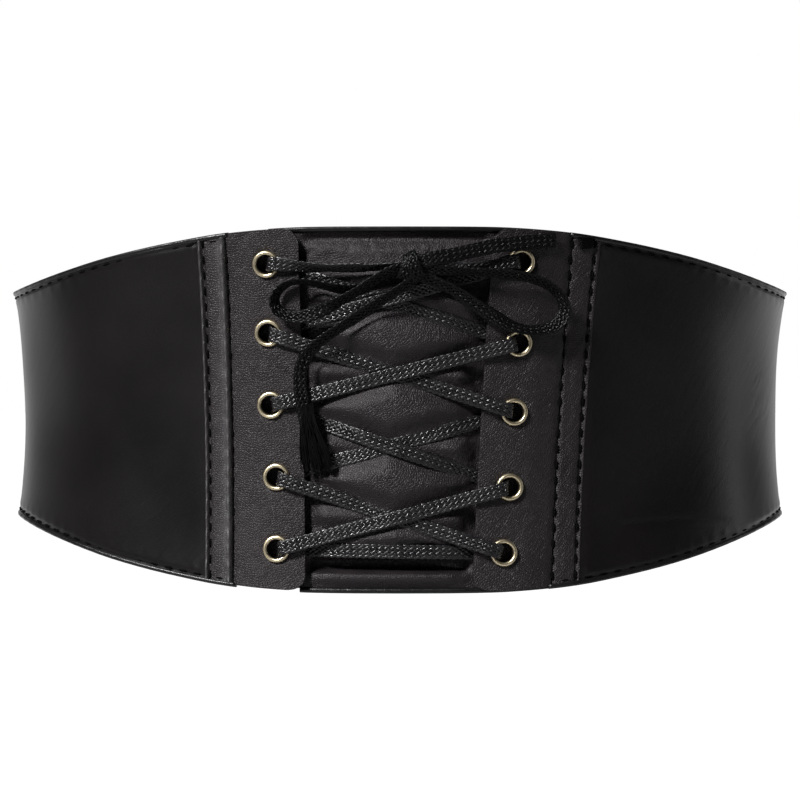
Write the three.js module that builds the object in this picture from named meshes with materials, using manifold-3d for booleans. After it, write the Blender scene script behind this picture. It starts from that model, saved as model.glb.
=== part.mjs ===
// Laced corset belt in soft black leather with an elastic back, closed as it sits round a waist.
// Millimetres. +X is the viewer's right, -Y is the front and +Z is up. The origin is the middle of
// the waist at the belt's mid height. Places on the belt are given as along, the distance round the
// waist from the middle of the front, height, and out, the distance outward from the waist.
import * as THREE from "three";
import * as BufferGeometryUtils from "three/addons/utils/BufferGeometryUtils.js";
import Module from "manifold-3d";

const wasm = await Module();
wasm.setup();

// The waist, an oval, and how far the belt flares from its narrowest line to the hips and ribs
const WAIST_WIDTH = 276.8;
const WAIST_DEPTH = 164;
const FLARE = 4.1;
const FLARE_HEIGHT = 47;
const NARROWEST_HEIGHT = -5;
const FRONT_FLARE_SHARE = 0.35;

// Heights
const FRONT_HEIGHT = 130;
const SIDE_HEIGHT = 83;
const ELASTIC_HEIGHT = 78;
const BINDING_HEIGHT = 1.9;
const PLACKET_DROP = 0.9;

// Lengths round the waist
const LACED_WIDTH = 62.3;
const LACED_SHIFT = -2.65;
const PLACKET_WIDTH = 26;
const CHANNEL_WIDTH = 7.5;
const WING_END = 200;
const ELASTIC_OVERLAP = 11;
const CLOSURE_WIDTH = 34;
const LEAN_LEFT = 1.2;
const LEAN_RIGHT = 3.7;
const CORNER_RADIUS = 6;

// Walls and clearances
const GAP = 0.3;
const PANEL_WALL = 1;
const PADDING = 3;
const PLACKET_WALL = 1.5;
const PLACKET_SEAT = 1.9;
const PLACKET_RISE = 0.42;
const CHANNEL_WALL = 1.5;
const CHANNEL_CROWN = 0.9;
const WING_WALL = 2;
const WING_LIFT = 1;
const WING_LIFT_LENGTH = 15;
const ELASTIC_WALL = 1.5;
const CLOSURE_WALL = 2;
const BINDING_BULGE = 0.7;
const CENTRE_BINDING_WALL = 1.8;

// Eyelets
const EYELET_RADIUS = 4.9;
const EYELET_HOLE_RADIUS = 3.3;
const EYELET_BARREL_WALL = 0.4;
const EYELET_RIM = 0.9;
const EYELET_LIP = 0.3;
const EYELET_LIP_WIDTH = 1;
const EYELET_INSET = 10.8;

// Lace
const LACE_WIDTH = 5.3;
const LACE_THICKNESS = 1;
const LACE_GAP = 0.35;
const LACE_EDGE_SHARE = 0.4;
const LACE_FLAT_SHARE = 0.8;
const KNOT_WIDTH = 13;
const KNOT_HEIGHT = 12.5;
const KNOT_DEPTH = 8;
const FRAY_LENGTH = 16.5;
const FRAY_WIDTH = 10;
const FRAY_DEPTH = 2.4;
const FRAY_DRIFT = 3.4;
const FRAY_FALL_BACK = 0.6;

// Where the lace goes at an eyelet and at a crossing: the distance from the hole's middle at which
// it dips in, as a share of the hole's radius, the distance at which it is clear of the rim, as a
// share of the eyelet's radius, how deep it sinks, as a share of its thickness, and the stretch on
// each side of a crossing in which it bends over the other leg, in widths of the lace
const LACE_DIP_PLACE = 0.4;
const LACE_CLEAR_PLACE = 0.95;
const LACE_SINK = 0.55;
const LACE_DIP_BEHIND = 0.45;
const LACE_TURN_INWARD = 0.7;
const LACE_RIM_DROP = 0.7;
const LACE_SPREAD = 1.9;
const LACE_RISE_PLACE = 0.35;

const BLACK_LEATHER = { color: 0x151415, roughness: 0.42, metalness: 0 };
const GRAINED_LEATHER = { color: 0x221f20, roughness: 0.55, metalness: 0 };
const ROLLED_EDGE = { color: 0x101011, roughness: 0.35, metalness: 0 };
const BRASS = { color: 0xa58f63, roughness: 0.3, metalness: 1 };
const LACE_CORD = { color: 0x0e0e10, roughness: 0.5, metalness: 0 };
const ELASTIC = { color: 0x0c0c0d, roughness: 0.85, metalness: 0 };

// Where the belt's edge runs: along is a share of a quarter of the waist, and rise is a share of
// half the difference between the front's and the side's height
const OUTLINE = [
  { along: 0, rise: 1 },
  { along: 0.176, rise: 0.994 },
  { along: 0.256, rise: 0.968 },
  { along: 0.341, rise: 0.911 },
  { along: 0.426, rise: 0.815 },
  { along: 0.512, rise: 0.696 },
  { along: 0.603, rise: 0.549 },
  { along: 0.705, rise: 0.36 },
  { along: 0.767, rise: 0.247 },
  { along: 0.841, rise: 0.126 },
  { along: 0.92, rise: 0.035 },
  { along: 1, rise: 0 },
];

// The padding of the centre panel from its bottom to its top: up is a share of the panel's half
// height, and full is a share of the padding. The dip near the bottom is the sewn crease.
const PADDING_ROWS = [
  { up: -1, full: 0 },
  { up: -0.965, full: 0.32 },
  { up: -0.92, full: 0.42 },
  { up: -0.885, full: 0.08 },
  { up: -0.84, full: 0.12 },
  { up: -0.78, full: 0.72 },
  { up: -0.62, full: 0.95 },
  { up: -0.35, full: 1 },
  { up: 0, full: 1 },
  { up: 0.35, full: 1 },
  { up: 0.62, full: 0.95 },
  { up: 0.8, full: 0.75 },
  { up: 0.9, full: 0.45 },
  { up: 0.955, full: 0.08 },
  { up: 1, full: 0 },
];

// The eyelets: in is a share of the usual distance from the facing's edge, and up is a share of
// half the front's height
const EYELETS = [
  { row: 1, side: "left", in: 1.06, up: 0.795 },
  { row: 2, side: "left", in: 1.07, up: 0.42 },
  { row: 3, side: "left", in: 1.05, up: 0.026 },
  { row: 4, side: "left", in: 0.9, up: -0.366 },
  { row: 5, side: "left", in: 0.92, up: -0.758 },
  { row: 1, side: "right", in: 0.95, up: 0.806 },
  { row: 2, side: "right", in: 1.05, up: 0.365 },
  { row: 3, side: "right", in: 1.05, up: -0.011 },
  { row: 4, side: "right", in: 1.04, up: -0.42 },
  { row: 5, side: "right", in: 0.95, up: -0.778 },
];

// The legs of the lacing in order, from eyelet to eyelet: face says on which face of the facings
// a leg runs, and over says whether it lies on top of the leg that it crosses
const LEGS = [
  { from: "left_1", to: "right_2", face: "back", over: false },
  { from: "right_2", to: "left_3", face: "front", over: true },
  { from: "left_3", to: "right_4", face: "back", over: true },
  { from: "right_4", to: "left_5", face: "front", over: true },
  { from: "left_5", to: "right_5", face: "back", over: false },
  { from: "right_5", to: "left_4", face: "front", over: false },
  { from: "left_4", to: "right_3", face: "back", over: false },
  { from: "right_3", to: "left_2", face: "front", over: false },
  { from: "left_2", to: "right_1", face: "back", over: true },
];

// The free stretches of the lace, point by point: millimetres along, high and out, and roll, the
// angle in degrees that the lace is turned from lying flat
const LEAD_LEFT = [
  { along: -2.8, height: 50.7, out: 9.2, roll: 10 },
  { along: -10.5, height: 50.4, out: 8.4, roll: 12 },
  { along: -23.6, height: 50.3, out: 7.6, roll: 10 },
  { along: -34.5, height: 50.8, out: 6.9, roll: 5 },
];
const LEAD_RIGHT = [
  { along: 33, height: 51, out: 6.9, roll: 0 },
  { along: 22, height: 50.3, out: 7.4, roll: 0 },
  { along: 10.7, height: 50.8, out: 8.4, roll: 0 },
];
const LOOP_RIGHT = [
  { along: 11, height: 49.8, out: 11.4, roll: -10 },
  { along: 20, height: 49.2, out: 10.3, roll: -25 },
  { along: 29.4, height: 48.8, out: 9.6, roll: -30 },
  { along: 38.3, height: 47.8, out: 9.2, roll: -35 },
  { along: 45.2, height: 46.5, out: 8.4, roll: -40 },
  { along: 51, height: 43.9, out: 7.7, roll: -48 },
  { along: 54.8, height: 40.6, out: 7.3, roll: -55 },
  { along: 56.7, height: 36.9, out: 7, roll: -58 },
  { along: 56.4, height: 33.2, out: 6.9, roll: -55 },
  { along: 54, height: 30.4, out: 7, roll: -48 },
  { along: 50, height: 28.7, out: 7.2, roll: -38 },
  { along: 45.2, height: 28.3, out: 7.6, roll: -30 },
  { along: 38.8, height: 29.6, out: 8, roll: -22 },
  { along: 32.3, height: 33, out: 7.9, roll: -15 },
  { along: 24.8, height: 37.9, out: 8, roll: -12 },
  { along: 18.6, height: 42.2, out: 8.8, roll: -8 },
  { along: 10.2, height: 46.2, out: 9.8, roll: 0 },
];
const LOOP_LEFT = [
  { along: -2.2, height: 45.8, out: 8.5, roll: 10 },
  { along: -9.4, height: 44.2, out: 7.9, roll: 20 },
  { along: -15.5, height: 42.6, out: 7.8, roll: 35 },
  { along: -22.7, height: 43.4, out: 7.9, roll: 42 },
  { along: -28.8, height: 45, out: 7.9, roll: 45 },
  { along: -33.9, height: 45.6, out: 7.9, roll: 45 },
  { along: -38.4, height: 44.6, out: 8, roll: 40 },
  { along: -41.6, height: 42, out: 8, roll: 35 },
  { along: -42.8, height: 38.8, out: 8.1, roll: 30 },
  { along: -41.8, height: 35.6, out: 8.2, roll: 30 },
  { along: -38.6, height: 33.7, out: 8.4, roll: 32 },
  { along: -33.8, height: 33.2, out: 8.8, roll: 35 },
  { along: -27.5, height: 35, out: 9.6, roll: 30 },
  { along: -20.5, height: 38.5, out: 10.6, roll: 20 },
  { along: -13.5, height: 42.6, out: 11.2, roll: 10 },
  { along: -7.4, height: 46.6, out: 11.6, roll: 5 },
  { along: -2.6, height: 49.2, out: 12, roll: 0 },
];
const TAIL_SIDE = [
  { along: 9.8, height: 53.3, out: 12.9, roll: 0 },
  { along: 17.5, height: 54.8, out: 11.8, roll: 0 },
  { along: 24.5, height: 56.4, out: 10.4, roll: 0 },
  { along: 31.5, height: 57.9, out: 9.3, roll: 0 },
  { along: 38.5, height: 59.2, out: 8.2, roll: 0 },
  { along: 45.6, height: 60.5, out: 6.6, roll: 0 },
  { along: 53.5, height: 61.6, out: 5.1, roll: 0 },
];
const TAIL_HANGING = [
  { along: 0.9, height: 43.5, out: 11, roll: 0 },
  { along: -6, height: 39, out: 10.2, roll: 5 },
  { along: -12.5, height: 34.4, out: 9.8, roll: 10 },
  { along: -19.5, height: 29.6, out: 10.6, roll: 12 },
  { along: -26, height: 25.2, out: 10.2, roll: 15 },
  { along: -31, height: 20.6, out: 9, roll: 20 },
  { along: -33.6, height: 15.2, out: 8.4, roll: 20 },
  { along: -34, height: 9, out: 8.2, roll: 10 },
  { along: -33.2, height: 2, out: 8.4, roll: 0 },
  { along: -32, height: -5, out: 7.6, roll: 0 },
];

// Turns a table into a smooth reading of one column against another
function readTable(rows, key, value, at) {
  const last = rows.length - 1;
  if (at <= rows[0][key]) return rows[0][value];
  if (at >= rows[last][key]) return rows[last][value];
  const i = rows.findIndex((row) => row[key] > at) - 1;
  const slope = (a, b) => (rows[b][value] - rows[a][value]) / (rows[b][key] - rows[a][key]);
  const here = slope(Math.max(i - 1, 0), i + 1);
  const next = slope(i, Math.min(i + 2, last));
  const step = rows[i + 1][key] - rows[i][key];
  const t = (at - rows[i][key]) / step;
  const rise = rows[i + 1][value] - rows[i][value];
  const bend = t * (1 - t) * (here * step * (1 - t) - next * step * t);
  return rows[i][value] + rise * t * t * (3 - 2 * t) + bend;
}

function smooth(from, to, at) {
  return THREE.MathUtils.smoothstep(at, from, to);
}

function mix(a, b, share) {
  return a + (b - a) * share;
}

// The wings, the elastics and the closure lie on each other, so they have the same rows
const SHEET_ROWS = 6;

// Shares from 0 to 1 in equal steps
function even(steps) {
  return Array.from({ length: steps + 1 }, (_, i) => i / steps);
}

// The waist as an oval that starts at the middle of the front and runs to the viewer's right
const waist = new THREE.EllipseCurve(
  0, 0, WAIST_WIDTH / 2, WAIST_DEPTH / 2, -Math.PI / 2, 1.5 * Math.PI);
waist.arcLengthDivisions = 1440;
const WAIST_LENGTH = waist.getLength();
const QUARTER = WAIST_LENGTH / 4;

function onBelt(along, height, out) {
  const share = THREE.MathUtils.euclideanModulo(along / WAIST_LENGTH, 1);
  const point = waist.getPointAt(share);
  const tangent = waist.getTangentAt(share);
  const sideways = point.x / (WAIST_WIDTH / 2);
  const flareShare = mix(FRONT_FLARE_SHARE, 1, sideways * sideways);
  const flare = FLARE * flareShare * ((height - NARROWEST_HEIGHT) / FLARE_HEIGHT) ** 2;
  const reach = out + flare;
  return new THREE.Vector3(point.x + tangent.y * reach, point.y - tangent.x * reach, height);
}

function halfHeight(along) {
  const rise = readTable(OUTLINE, "along", "rise", Math.abs(along) / QUARTER);
  return mix(SIDE_HEIGHT, FRONT_HEIGHT, rise) / 2;
}

// The seams of one side, as distances from the middle of the front at a height. sign is -1 on the
// viewer's left. The facing's edge, its seam to the channel and the channel's seam to the wing all
// lean alike.
const SIDES = {
  left: { sign: -1, lean: LEAN_LEFT, shift: -LACED_SHIFT },
  right: { sign: 1, lean: LEAN_RIGHT, shift: LACED_SHIFT },
};

function placketEdge(side, height) {
  return LACED_WIDTH / 2 + side.shift + (side.lean * height) / (FRONT_HEIGHT / 2);
}

function channelSeam(side, height) {
  return placketEdge(side, height) + PLACKET_WIDTH;
}

function wingSeam(side, height) {
  return channelSeam(side, height) + CHANNEL_WIDTH;
}

// How far out each layer lies. The facings rise from their seam to leave room for the lace and the
// eyelets' lips behind them.
const PLACKET_ROOM = PANEL_WALL + 2 * LACE_GAP + LACE_THICKNESS + EYELET_LIP + GAP;

function placketBack(side, along, height) {
  const fromSeam = channelSeam(side, height) - Math.abs(along);
  return mix(PLACKET_SEAT, PLACKET_ROOM, smooth(0, PLACKET_WIDTH * PLACKET_RISE, fromSeam));
}

function padding(along, height) {
  const left = -placketEdge(SIDES.left, height);
  const right = placketEdge(SIDES.right, height);
  const across = (2 * along - left - right) / (right - left);
  const full = readTable(PADDING_ROWS, "up", "full", height / panelTop(along));
  return PADDING * full * Math.max(0, 1 - across * across);
}

function panelTop(along) {
  return halfHeight(along) - BINDING_HEIGHT - GAP;
}

function wingBack(along) {
  const fromSeam = Math.abs(along) - LACED_WIDTH / 2 - PLACKET_WIDTH - CHANNEL_WIDTH;
  const rearStart = WING_END - ELASTIC_OVERLAP - GAP;
  const front = WING_LIFT * (1 - smooth(0, WING_LIFT_LENGTH, fromSeam));
  const rear = smooth(rearStart - ELASTIC_OVERLAP, rearStart - 2 * GAP, Math.abs(along));
  return front + (ELASTIC_WALL + GAP) * rear;
}

// A sheet bent round the belt: place gives the point for a column, a row and a depth of 0 at the
// back face or 1 at the front face. The columns run to the viewer's right, or to the left where
// the sheet is mirrored.
function bentSheet(columns, rows, place, mirrored = false) {
  const across = columns.length - 1;
  const up = rows.length - 1;
  const geometry = new THREE.BoxGeometry(1, 1, 1, across, up, 1);
  const points = geometry.attributes.position;
  for (let i = 0; i < points.count; i += 1) {
    const count = Math.round((points.getX(i) + 0.5) * across);
    const column = columns[mirrored ? across - count : count];
    const row = rows[Math.round((points.getY(i) + 0.5) * up)];
    const spot = place(column, row, points.getZ(i) + 0.5);
    points.setXYZ(i, spot.x, spot.y, spot.z);
  }
  return closed(geometry);
}

// One closed body: shared corners are merged, so that only the positions are left
function closed(geometry) {
  geometry.deleteAttribute("normal");
  geometry.deleteAttribute("uv");
  return BufferGeometryUtils.mergeVertices(geometry, 1e-4);
}

function toSolid(geometry) {
  return new wasm.Manifold(new wasm.Mesh({
    numProp: 3,
    vertProperties: new Float32Array(geometry.attributes.position.array),
    triVerts: new Uint32Array(geometry.index.array),
  }));
}

function toGeometry(solid) {
  const mesh = solid.getMesh();
  const geometry = new THREE.BufferGeometry();
  geometry.setAttribute("position", new THREE.Float32BufferAttribute(mesh.vertProperties, 3));
  geometry.setIndex(Array.from(mesh.triVerts));
  return geometry;
}

// A run of sections whose places and turns are chosen, for the lace and the rolled edges. Each
// stop has a point and across, the direction of the section's width.
class Run extends THREE.Curve {
  constructor(stops) {
    super();
    this.stops = stops;
  }

  getSpacedPoints() {
    return this.stops.map((stop) => stop.point);
  }

  computeFrenetFrames() {
    const last = this.stops.length - 1;
    const frames = { tangents: [], normals: [], binormals: [] };
    this.stops.forEach((stop, i) => {
      const before = this.stops[Math.max(i - 1, 0)].point;
      const after = this.stops[Math.min(i + 1, last)].point;
      const tangent = after.clone().sub(before).normalize();
      const lean = stop.across.dot(tangent);
      const normal = stop.across.clone().addScaledVector(tangent, -lean).normalize();
      frames.tangents.push(tangent);
      frames.normals.push(normal);
      frames.binormals.push(tangent.clone().cross(normal));
    });
    return frames;
  }
}

// A flat section with eight sides, for the lace and the rolled edges
function flatSection(width, thickness) {
  const x = width / 2;
  const y = thickness / 2;
  const shape = new THREE.Shape();
  const flat = x * LACE_FLAT_SHARE;
  const edge = y * LACE_EDGE_SHARE;
  shape.moveTo(x, -edge);
  shape.lineTo(x, edge);
  shape.lineTo(flat, y);
  shape.lineTo(-flat, y);
  shape.lineTo(-x, edge);
  shape.lineTo(-x, -edge);
  shape.lineTo(-flat, -y);
  shape.lineTo(flat, -y);
  shape.closePath();
  return shape;
}

function sweep(section, stops) {
  const settings = { steps: stops.length - 1, extrudePath: new Run(stops), curveSegments: 1 };
  return closed(new THREE.ExtrudeGeometry(section, settings));
}

// The belt's directions at a place: along it, up it and out of it
function directions(along, height, outAt) {
  const reach = 0.5;
  const here = (a, h) => onBelt(a, h, outAt(a, h));
  const alongIt = here(along + reach, height).sub(here(along - reach, height)).normalize();
  const upIt = here(along, height + reach).sub(here(along, height - reach)).normalize();
  return { alongIt, upIt, outOfIt: alongIt.clone().cross(upIt).normalize() };
}

const belt = new THREE.Group();

function addPiece(name, geometry, finish) {
  const mesh = new THREE.Mesh(geometry, new THREE.MeshStandardMaterial(finish));
  mesh.name = name;
  belt.add(mesh);
  return mesh;
}

// Centre panel: it runs under both facings to the channels' outer seams, and its padding swells
// between the facings
function centrePanel() {
  const columns = [0, 0.5, ...even(9).map((share) => 1 + share), 2.5, 3];
  const rows = PADDING_ROWS.map((row) => row.up);
  return bentSheet(columns, rows, (column, row, depth) => {
    const height = row * panelTop(0);
    const stops = [
      GAP - wingSeam(SIDES.left, height),
      -placketEdge(SIDES.left, height),
      placketEdge(SIDES.right, height),
      wingSeam(SIDES.right, height) - GAP,
    ];
    const zone = Math.min(Math.floor(column), stops.length - 2);
    const along = mix(stops[zone], stops[zone + 1], column - zone);
    const place = row * panelTop(along);
    return onBelt(along, place, depth * (PANEL_WALL + padding(along, place)));
  });
}

function edgeRun(from, to, steps, heightAt, outAt) {
  return even(steps).map((share) => {
    const along = mix(from, to, share);
    const height = heightAt(along);
    const { outOfIt } = directions(along, height, () => outAt(along));
    return { point: onBelt(along, height, outAt(along)), across: outOfIt };
  });
}

// The centre panel's rolled edges end under the facings
function centreBinding(sign) {
  const height = (along) => sign * (halfHeight(along) - BINDING_HEIGHT / 2);
  const reach = (side) => placketEdge(side, sign * halfHeight(0)) + PLACKET_WIDTH * PLACKET_RISE;
  const out = () => CENTRE_BINDING_WALL / 2;
  const stops = edgeRun(-reach(SIDES.left), reach(SIDES.right), 10, height, out);
  return sweep(flatSection(CENTRE_BINDING_WALL, BINDING_HEIGHT), stops);
}

// A facing has rounded corners at its free edge, and is cut through at each eyelet
function placket(side) {
  const bottomRows = [0, 0.008, 0.025, 0.055, 0.13, 0.24, 0.36];
  const topRows = [0.5, 0.64, 0.76, 0.87, 0.945, 0.975, 0.992, 1];
  const rows = [...bottomRows, ...topRows];
  const top = FRONT_HEIGHT / 2;
  const columns = [0, 0.13, PLACKET_RISE * 0.65, PLACKET_RISE, 0.71, 1];
  const place = (column, row, depth) => {
    const height = (2 * row - 1) * top;
    const toEnd = Math.min(1, Math.min(row, 1 - row) * FRONT_HEIGHT / CORNER_RADIUS);
    const rounded = CORNER_RADIUS * (1 - Math.sqrt(1 - (1 - toEnd) ** 2));
    const seam = channelSeam(side, height) - GAP / 2;
    const edge = placketEdge(side, height) + rounded;
    const along = side.sign * mix(seam, edge, column);
    const share = 2 * row - 1;
    const up = share * (halfHeight(along) - (share < 0 ? PLACKET_DROP : GAP));
    return onBelt(along, up, placketBack(side, along, up) + depth * PLACKET_WALL);
  };
  let solid = toSolid(bentSheet(columns, rows, place, side.sign > 0));
  for (const eyelet of eyeletsOf(side)) {
    const drill = new THREE.CylinderGeometry(
      EYELET_HOLE_RADIUS + EYELET_BARREL_WALL + GAP,
      EYELET_HOLE_RADIUS + EYELET_BARREL_WALL + GAP, 4 * PLACKET_WALL, 12);
    drill.applyMatrix4(eyelet.seat);
    solid = solid.subtract(toSolid(closed(drill)));
  }
  return toGeometry(solid);
}

// Where each eyelet sits: its axis is Y before it is seated, and its place is in the middle of
// the facing's wall
function eyeletsOf(side) {
  const name = side.sign < 0 ? "left" : "right";
  return EYELETS.filter((eyelet) => eyelet.side === name).map((eyelet) => {
    const height = (eyelet.up * FRONT_HEIGHT) / 2;
    const along = side.sign * (placketEdge(side, height) + eyelet.in * EYELET_INSET);
    const outAt = (a, h) => placketBack(side, a, h) + PLACKET_WALL / 2;
    const { alongIt, outOfIt } = directions(along, height, outAt);
    const seat = new THREE.Matrix4().makeBasis(alongIt, outOfIt, alongIt.clone().cross(outOfIt));
    seat.setPosition(onBelt(along, height, outAt(along, height)));
    return { name: `${name}_${eyelet.row}`, side, along, height, seat };
  });
}

const SEATS = [...eyeletsOf(SIDES.left), ...eyeletsOf(SIDES.right)];

function eyeletBody() {
  const front = PLACKET_WALL / 2 + GAP;
  const back = -front;
  const barrel = EYELET_HOLE_RADIUS + EYELET_BARREL_WALL;
  const lip = EYELET_HOLE_RADIUS + EYELET_LIP_WIDTH;
  const bandMiddle = (EYELET_HOLE_RADIUS + EYELET_RADIUS) / 2;
  const profile = [
    new THREE.Vector2(EYELET_HOLE_RADIUS, back - EYELET_LIP),
    new THREE.Vector2(lip, back - EYELET_LIP),
    new THREE.Vector2(lip, back),
    new THREE.Vector2(barrel, back),
    new THREE.Vector2(barrel, front),
    new THREE.Vector2(EYELET_RADIUS, front),
    new THREE.Vector2(mix(bandMiddle, EYELET_RADIUS, 0.7), front + EYELET_RIM * 0.75),
    new THREE.Vector2(bandMiddle, front + EYELET_RIM),
    new THREE.Vector2(mix(bandMiddle, EYELET_HOLE_RADIUS, 0.8), front + EYELET_RIM * 0.7),
    new THREE.Vector2(EYELET_HOLE_RADIUS, front + EYELET_RIM * 0.2),
    new THREE.Vector2(EYELET_HOLE_RADIUS, back - EYELET_LIP),
  ];
  return closed(new THREE.LatheGeometry(profile, 12));
}

// A channel is a narrow padded strip between its two rows of stitches, flat at its ends
function channel(side) {
  const top = FRONT_HEIGHT / 2;
  const rows = [0, 0.03, 0.1, 0.22, 0.36, 0.5, 0.64, 0.78, 0.9, 0.97, 1];
  const place = (column, row, depth) => {
    const height = (2 * row - 1) * top;
    const inner = channelSeam(side, height) + GAP / 2;
    const outer = wingSeam(side, height) - GAP / 2;
    const along = side.sign * mix(inner, outer, column);
    const up = (2 * row - 1) * panelTop(along);
    const ends = smooth(0, 0.06, Math.min(row, 1 - row));
    const crown = CHANNEL_CROWN * (1 - (2 * column - 1) ** 2) * ends;
    return onBelt(along, up, PANEL_WALL + GAP + depth * (CHANNEL_WALL + crown));
  };
  return bentSheet(even(4), rows, place, side.sign < 0);
}

// The wing's columns, closer together where it lifts over the elastic
function wingColumns() {
  const start = LACED_WIDTH / 2 + PLACKET_WIDTH + CHANNEL_WIDTH;
  const lift = WING_END - 2 * ELASTIC_OVERLAP;
  const stops = even(12).map((share) => mix(start, lift, share));
  stops.push(mix(lift, WING_END, 0.2), mix(lift, WING_END, 0.36));
  stops.push(WING_END - ELASTIC_OVERLAP - 2 * GAP, WING_END - ELASTIC_OVERLAP / 2, WING_END);
  return stops.map((stop) => (stop - start) / (WING_END - start));
}

function wing(side) {
  const place = (column, row, depth) => {
    const height = ((2 * row - 1) * FRONT_HEIGHT) / 2;
    const along = side.sign * mix(wingSeam(side, height) + GAP / 2, WING_END, column);
    const up = (2 * row - 1) * panelTop(along);
    return onBelt(along, up, wingBack(along) + depth * WING_WALL);
  };
  return bentSheet(wingColumns(), even(SHEET_ROWS), place, side.sign < 0);
}

// The hem rolls over the wing's and the channel's edge, from the facing to the wing's end
function wingBinding(side, sign) {
  const start = channelSeam(side, (sign * FRONT_HEIGHT) / 2) + GAP;
  const height = (along) => sign * (halfHeight(along) - BINDING_HEIGHT / 2);
  const out = (along) => wingBack(along) + WING_WALL / 2;
  const stops = edgeRun(side.sign * start, side.sign * WING_END, 16, height, out);
  return sweep(flatSection(WING_WALL + BINDING_BULGE, BINDING_HEIGHT), stops);
}

function elastic(side) {
  const start = WING_END - ELASTIC_OVERLAP;
  const end = WAIST_LENGTH / 2 - GAP;
  const place = (column, row, depth) => {
    const along = side.sign * mix(start, end, column);
    return onBelt(along, ((2 * row - 1) * ELASTIC_HEIGHT) / 2, depth * ELASTIC_WALL);
  };
  return bentSheet(even(14), even(SHEET_ROWS), place, side.sign < 0);
}

function backClosure() {
  const middle = WAIST_LENGTH / 2;
  return bentSheet(even(4), even(SHEET_ROWS), (column, row, depth) => {
    const along = middle + (column - 0.5) * CLOSURE_WIDTH;
    const out = ELASTIC_WALL + GAP + depth * CLOSURE_WALL;
    return onBelt(along, ((2 * row - 1) * ELASTIC_HEIGHT) / 2, out);
  });
}

// One stop of the lace. angle is the direction in which it runs, from along the belt to up it.
function laceStop(along, height, out, angle, roll) {
  const { alongIt, upIt, outOfIt } = directions(along, height, () => out);
  const across = alongIt.multiplyScalar(-Math.sin(angle)).addScaledVector(upIt, Math.cos(angle));
  across.multiplyScalar(Math.cos(roll)).addScaledVector(outOfIt, Math.sin(roll));
  return { point: onBelt(along, height, out), across };
}

// A free stretch of the lace through its chosen points
function laceStretch(points) {
  const last = points.length - 1;
  return points.map((point, i) => {
    const before = points[Math.max(i - 1, 0)];
    const after = points[Math.min(i + 1, last)];
    const angle = Math.atan2(after.height - before.height, after.along - before.along);
    const roll = THREE.MathUtils.degToRad(point.roll);
    return laceStop(point.along, point.height, point.out, angle, roll);
  });
}

// How far out the lace's middle lies when it rests on the facings, the padding or behind a facing
const LACE_SEAT = LACE_GAP + LACE_THICKNESS / 2;
const LACE_CROSSING = LACE_THICKNESS + LACE_GAP;

function frontOut(side, along, height) {
  return placketBack(side, along, height) + PLACKET_WALL + GAP + EYELET_RIM + LACE_SEAT;
}

// One leg between two eyelets, without its turns through them
function legStops(leg) {
  const from = SEATS.find((seat) => seat.name === leg.from);
  const to = SEATS.find((seat) => seat.name === leg.to);
  const run = { along: to.along - from.along, height: to.height - from.height };
  const length = Math.hypot(run.along, run.height);
  const angle = Math.atan2(run.height, run.along);
  const turn = leg.face === "front" ? 0 : Math.PI;
  const lift = leg.over ? LACE_CROSSING : 0;
  const at = (distance) => {
    const share = distance / length;
    return { along: from.along + run.along * share, height: from.height + run.height * share };
  };
  const stop = (distance, out) => {
    const { along, height } = at(distance);
    return laceStop(along, height, out, angle + turn, 0);
  };
  const onPadding = (distance, extra) => {
    const { along, height } = at(distance);
    const edges = [-1, 0, 1].map((edge) => padding(along, height + (edge * LACE_WIDTH) / 2));
    return stop(distance, PANEL_WALL + Math.max(...edges) + LACE_SEAT + extra);
  };
  const near = EYELET_HOLE_RADIUS * LACE_DIP_PLACE;
  const past = EYELET_RADIUS * LACE_CLEAR_PLACE;
  const middle = middleOf(from, to, length);
  const spread = LACE_WIDTH * LACE_SPREAD;
  const edgeFrom = edgeDistance(from, length, run);
  const edgeTo = length - edgeDistance(to, length, run);
  const stops = [];
  if (leg.face === "front") {
    const rim = (seat, drop) => frontOut(seat.side, seat.along, seat.height) - drop;
    const sunk = LACE_THICKNESS * LACE_SINK;
    const dropped = EYELET_RIM * LACE_RIM_DROP;
    stops.push(stop(near, rim(from, sunk)), stop(past, rim(from, 0)));
    stops.push(stop(edgeFrom, rim(from, dropped)));
    stops.push(onPadding(middle - spread, lift), onPadding(middle, lift));
    stops.push(onPadding(middle + spread, lift));
    stops.push(stop(edgeTo, rim(to, dropped)));
    stops.push(stop(length - past, rim(to, 0)), stop(length - near, rim(to, sunk)));
  } else {
    const low = PANEL_WALL + LACE_SEAT;
    const dip = LACE_THICKNESS * LACE_DIP_BEHIND;
    stops.push(stop(near, low + dip), stop(past, low), stop(edgeFrom, low));
    stops.push(onPadding(mix(edgeFrom, middle, LACE_RISE_PLACE), LACE_GAP));
    stops.push(onPadding(middle - spread, lift), onPadding(middle, lift));
    stops.push(onPadding(middle + spread, lift));
    stops.push(onPadding(mix(edgeTo, middle, LACE_RISE_PLACE), LACE_GAP), stop(edgeTo, low));
    stops.push(stop(length - past, low), stop(length - near, low + dip));
  }
  return stops;
}

// The distance along a leg to the middle of the laced gap, near which the legs cross
function middleOf(from, to, length) {
  return (length * (LACED_SHIFT - from.along)) / (to.along - from.along);
}

// The distance along a leg from an eyelet to the free edge of its facing
function edgeDistance(seat, length, run) {
  const inset = Math.abs(seat.along) - placketEdge(seat.side, seat.height);
  return (inset * length) / Math.abs(run.along);
}

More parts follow.
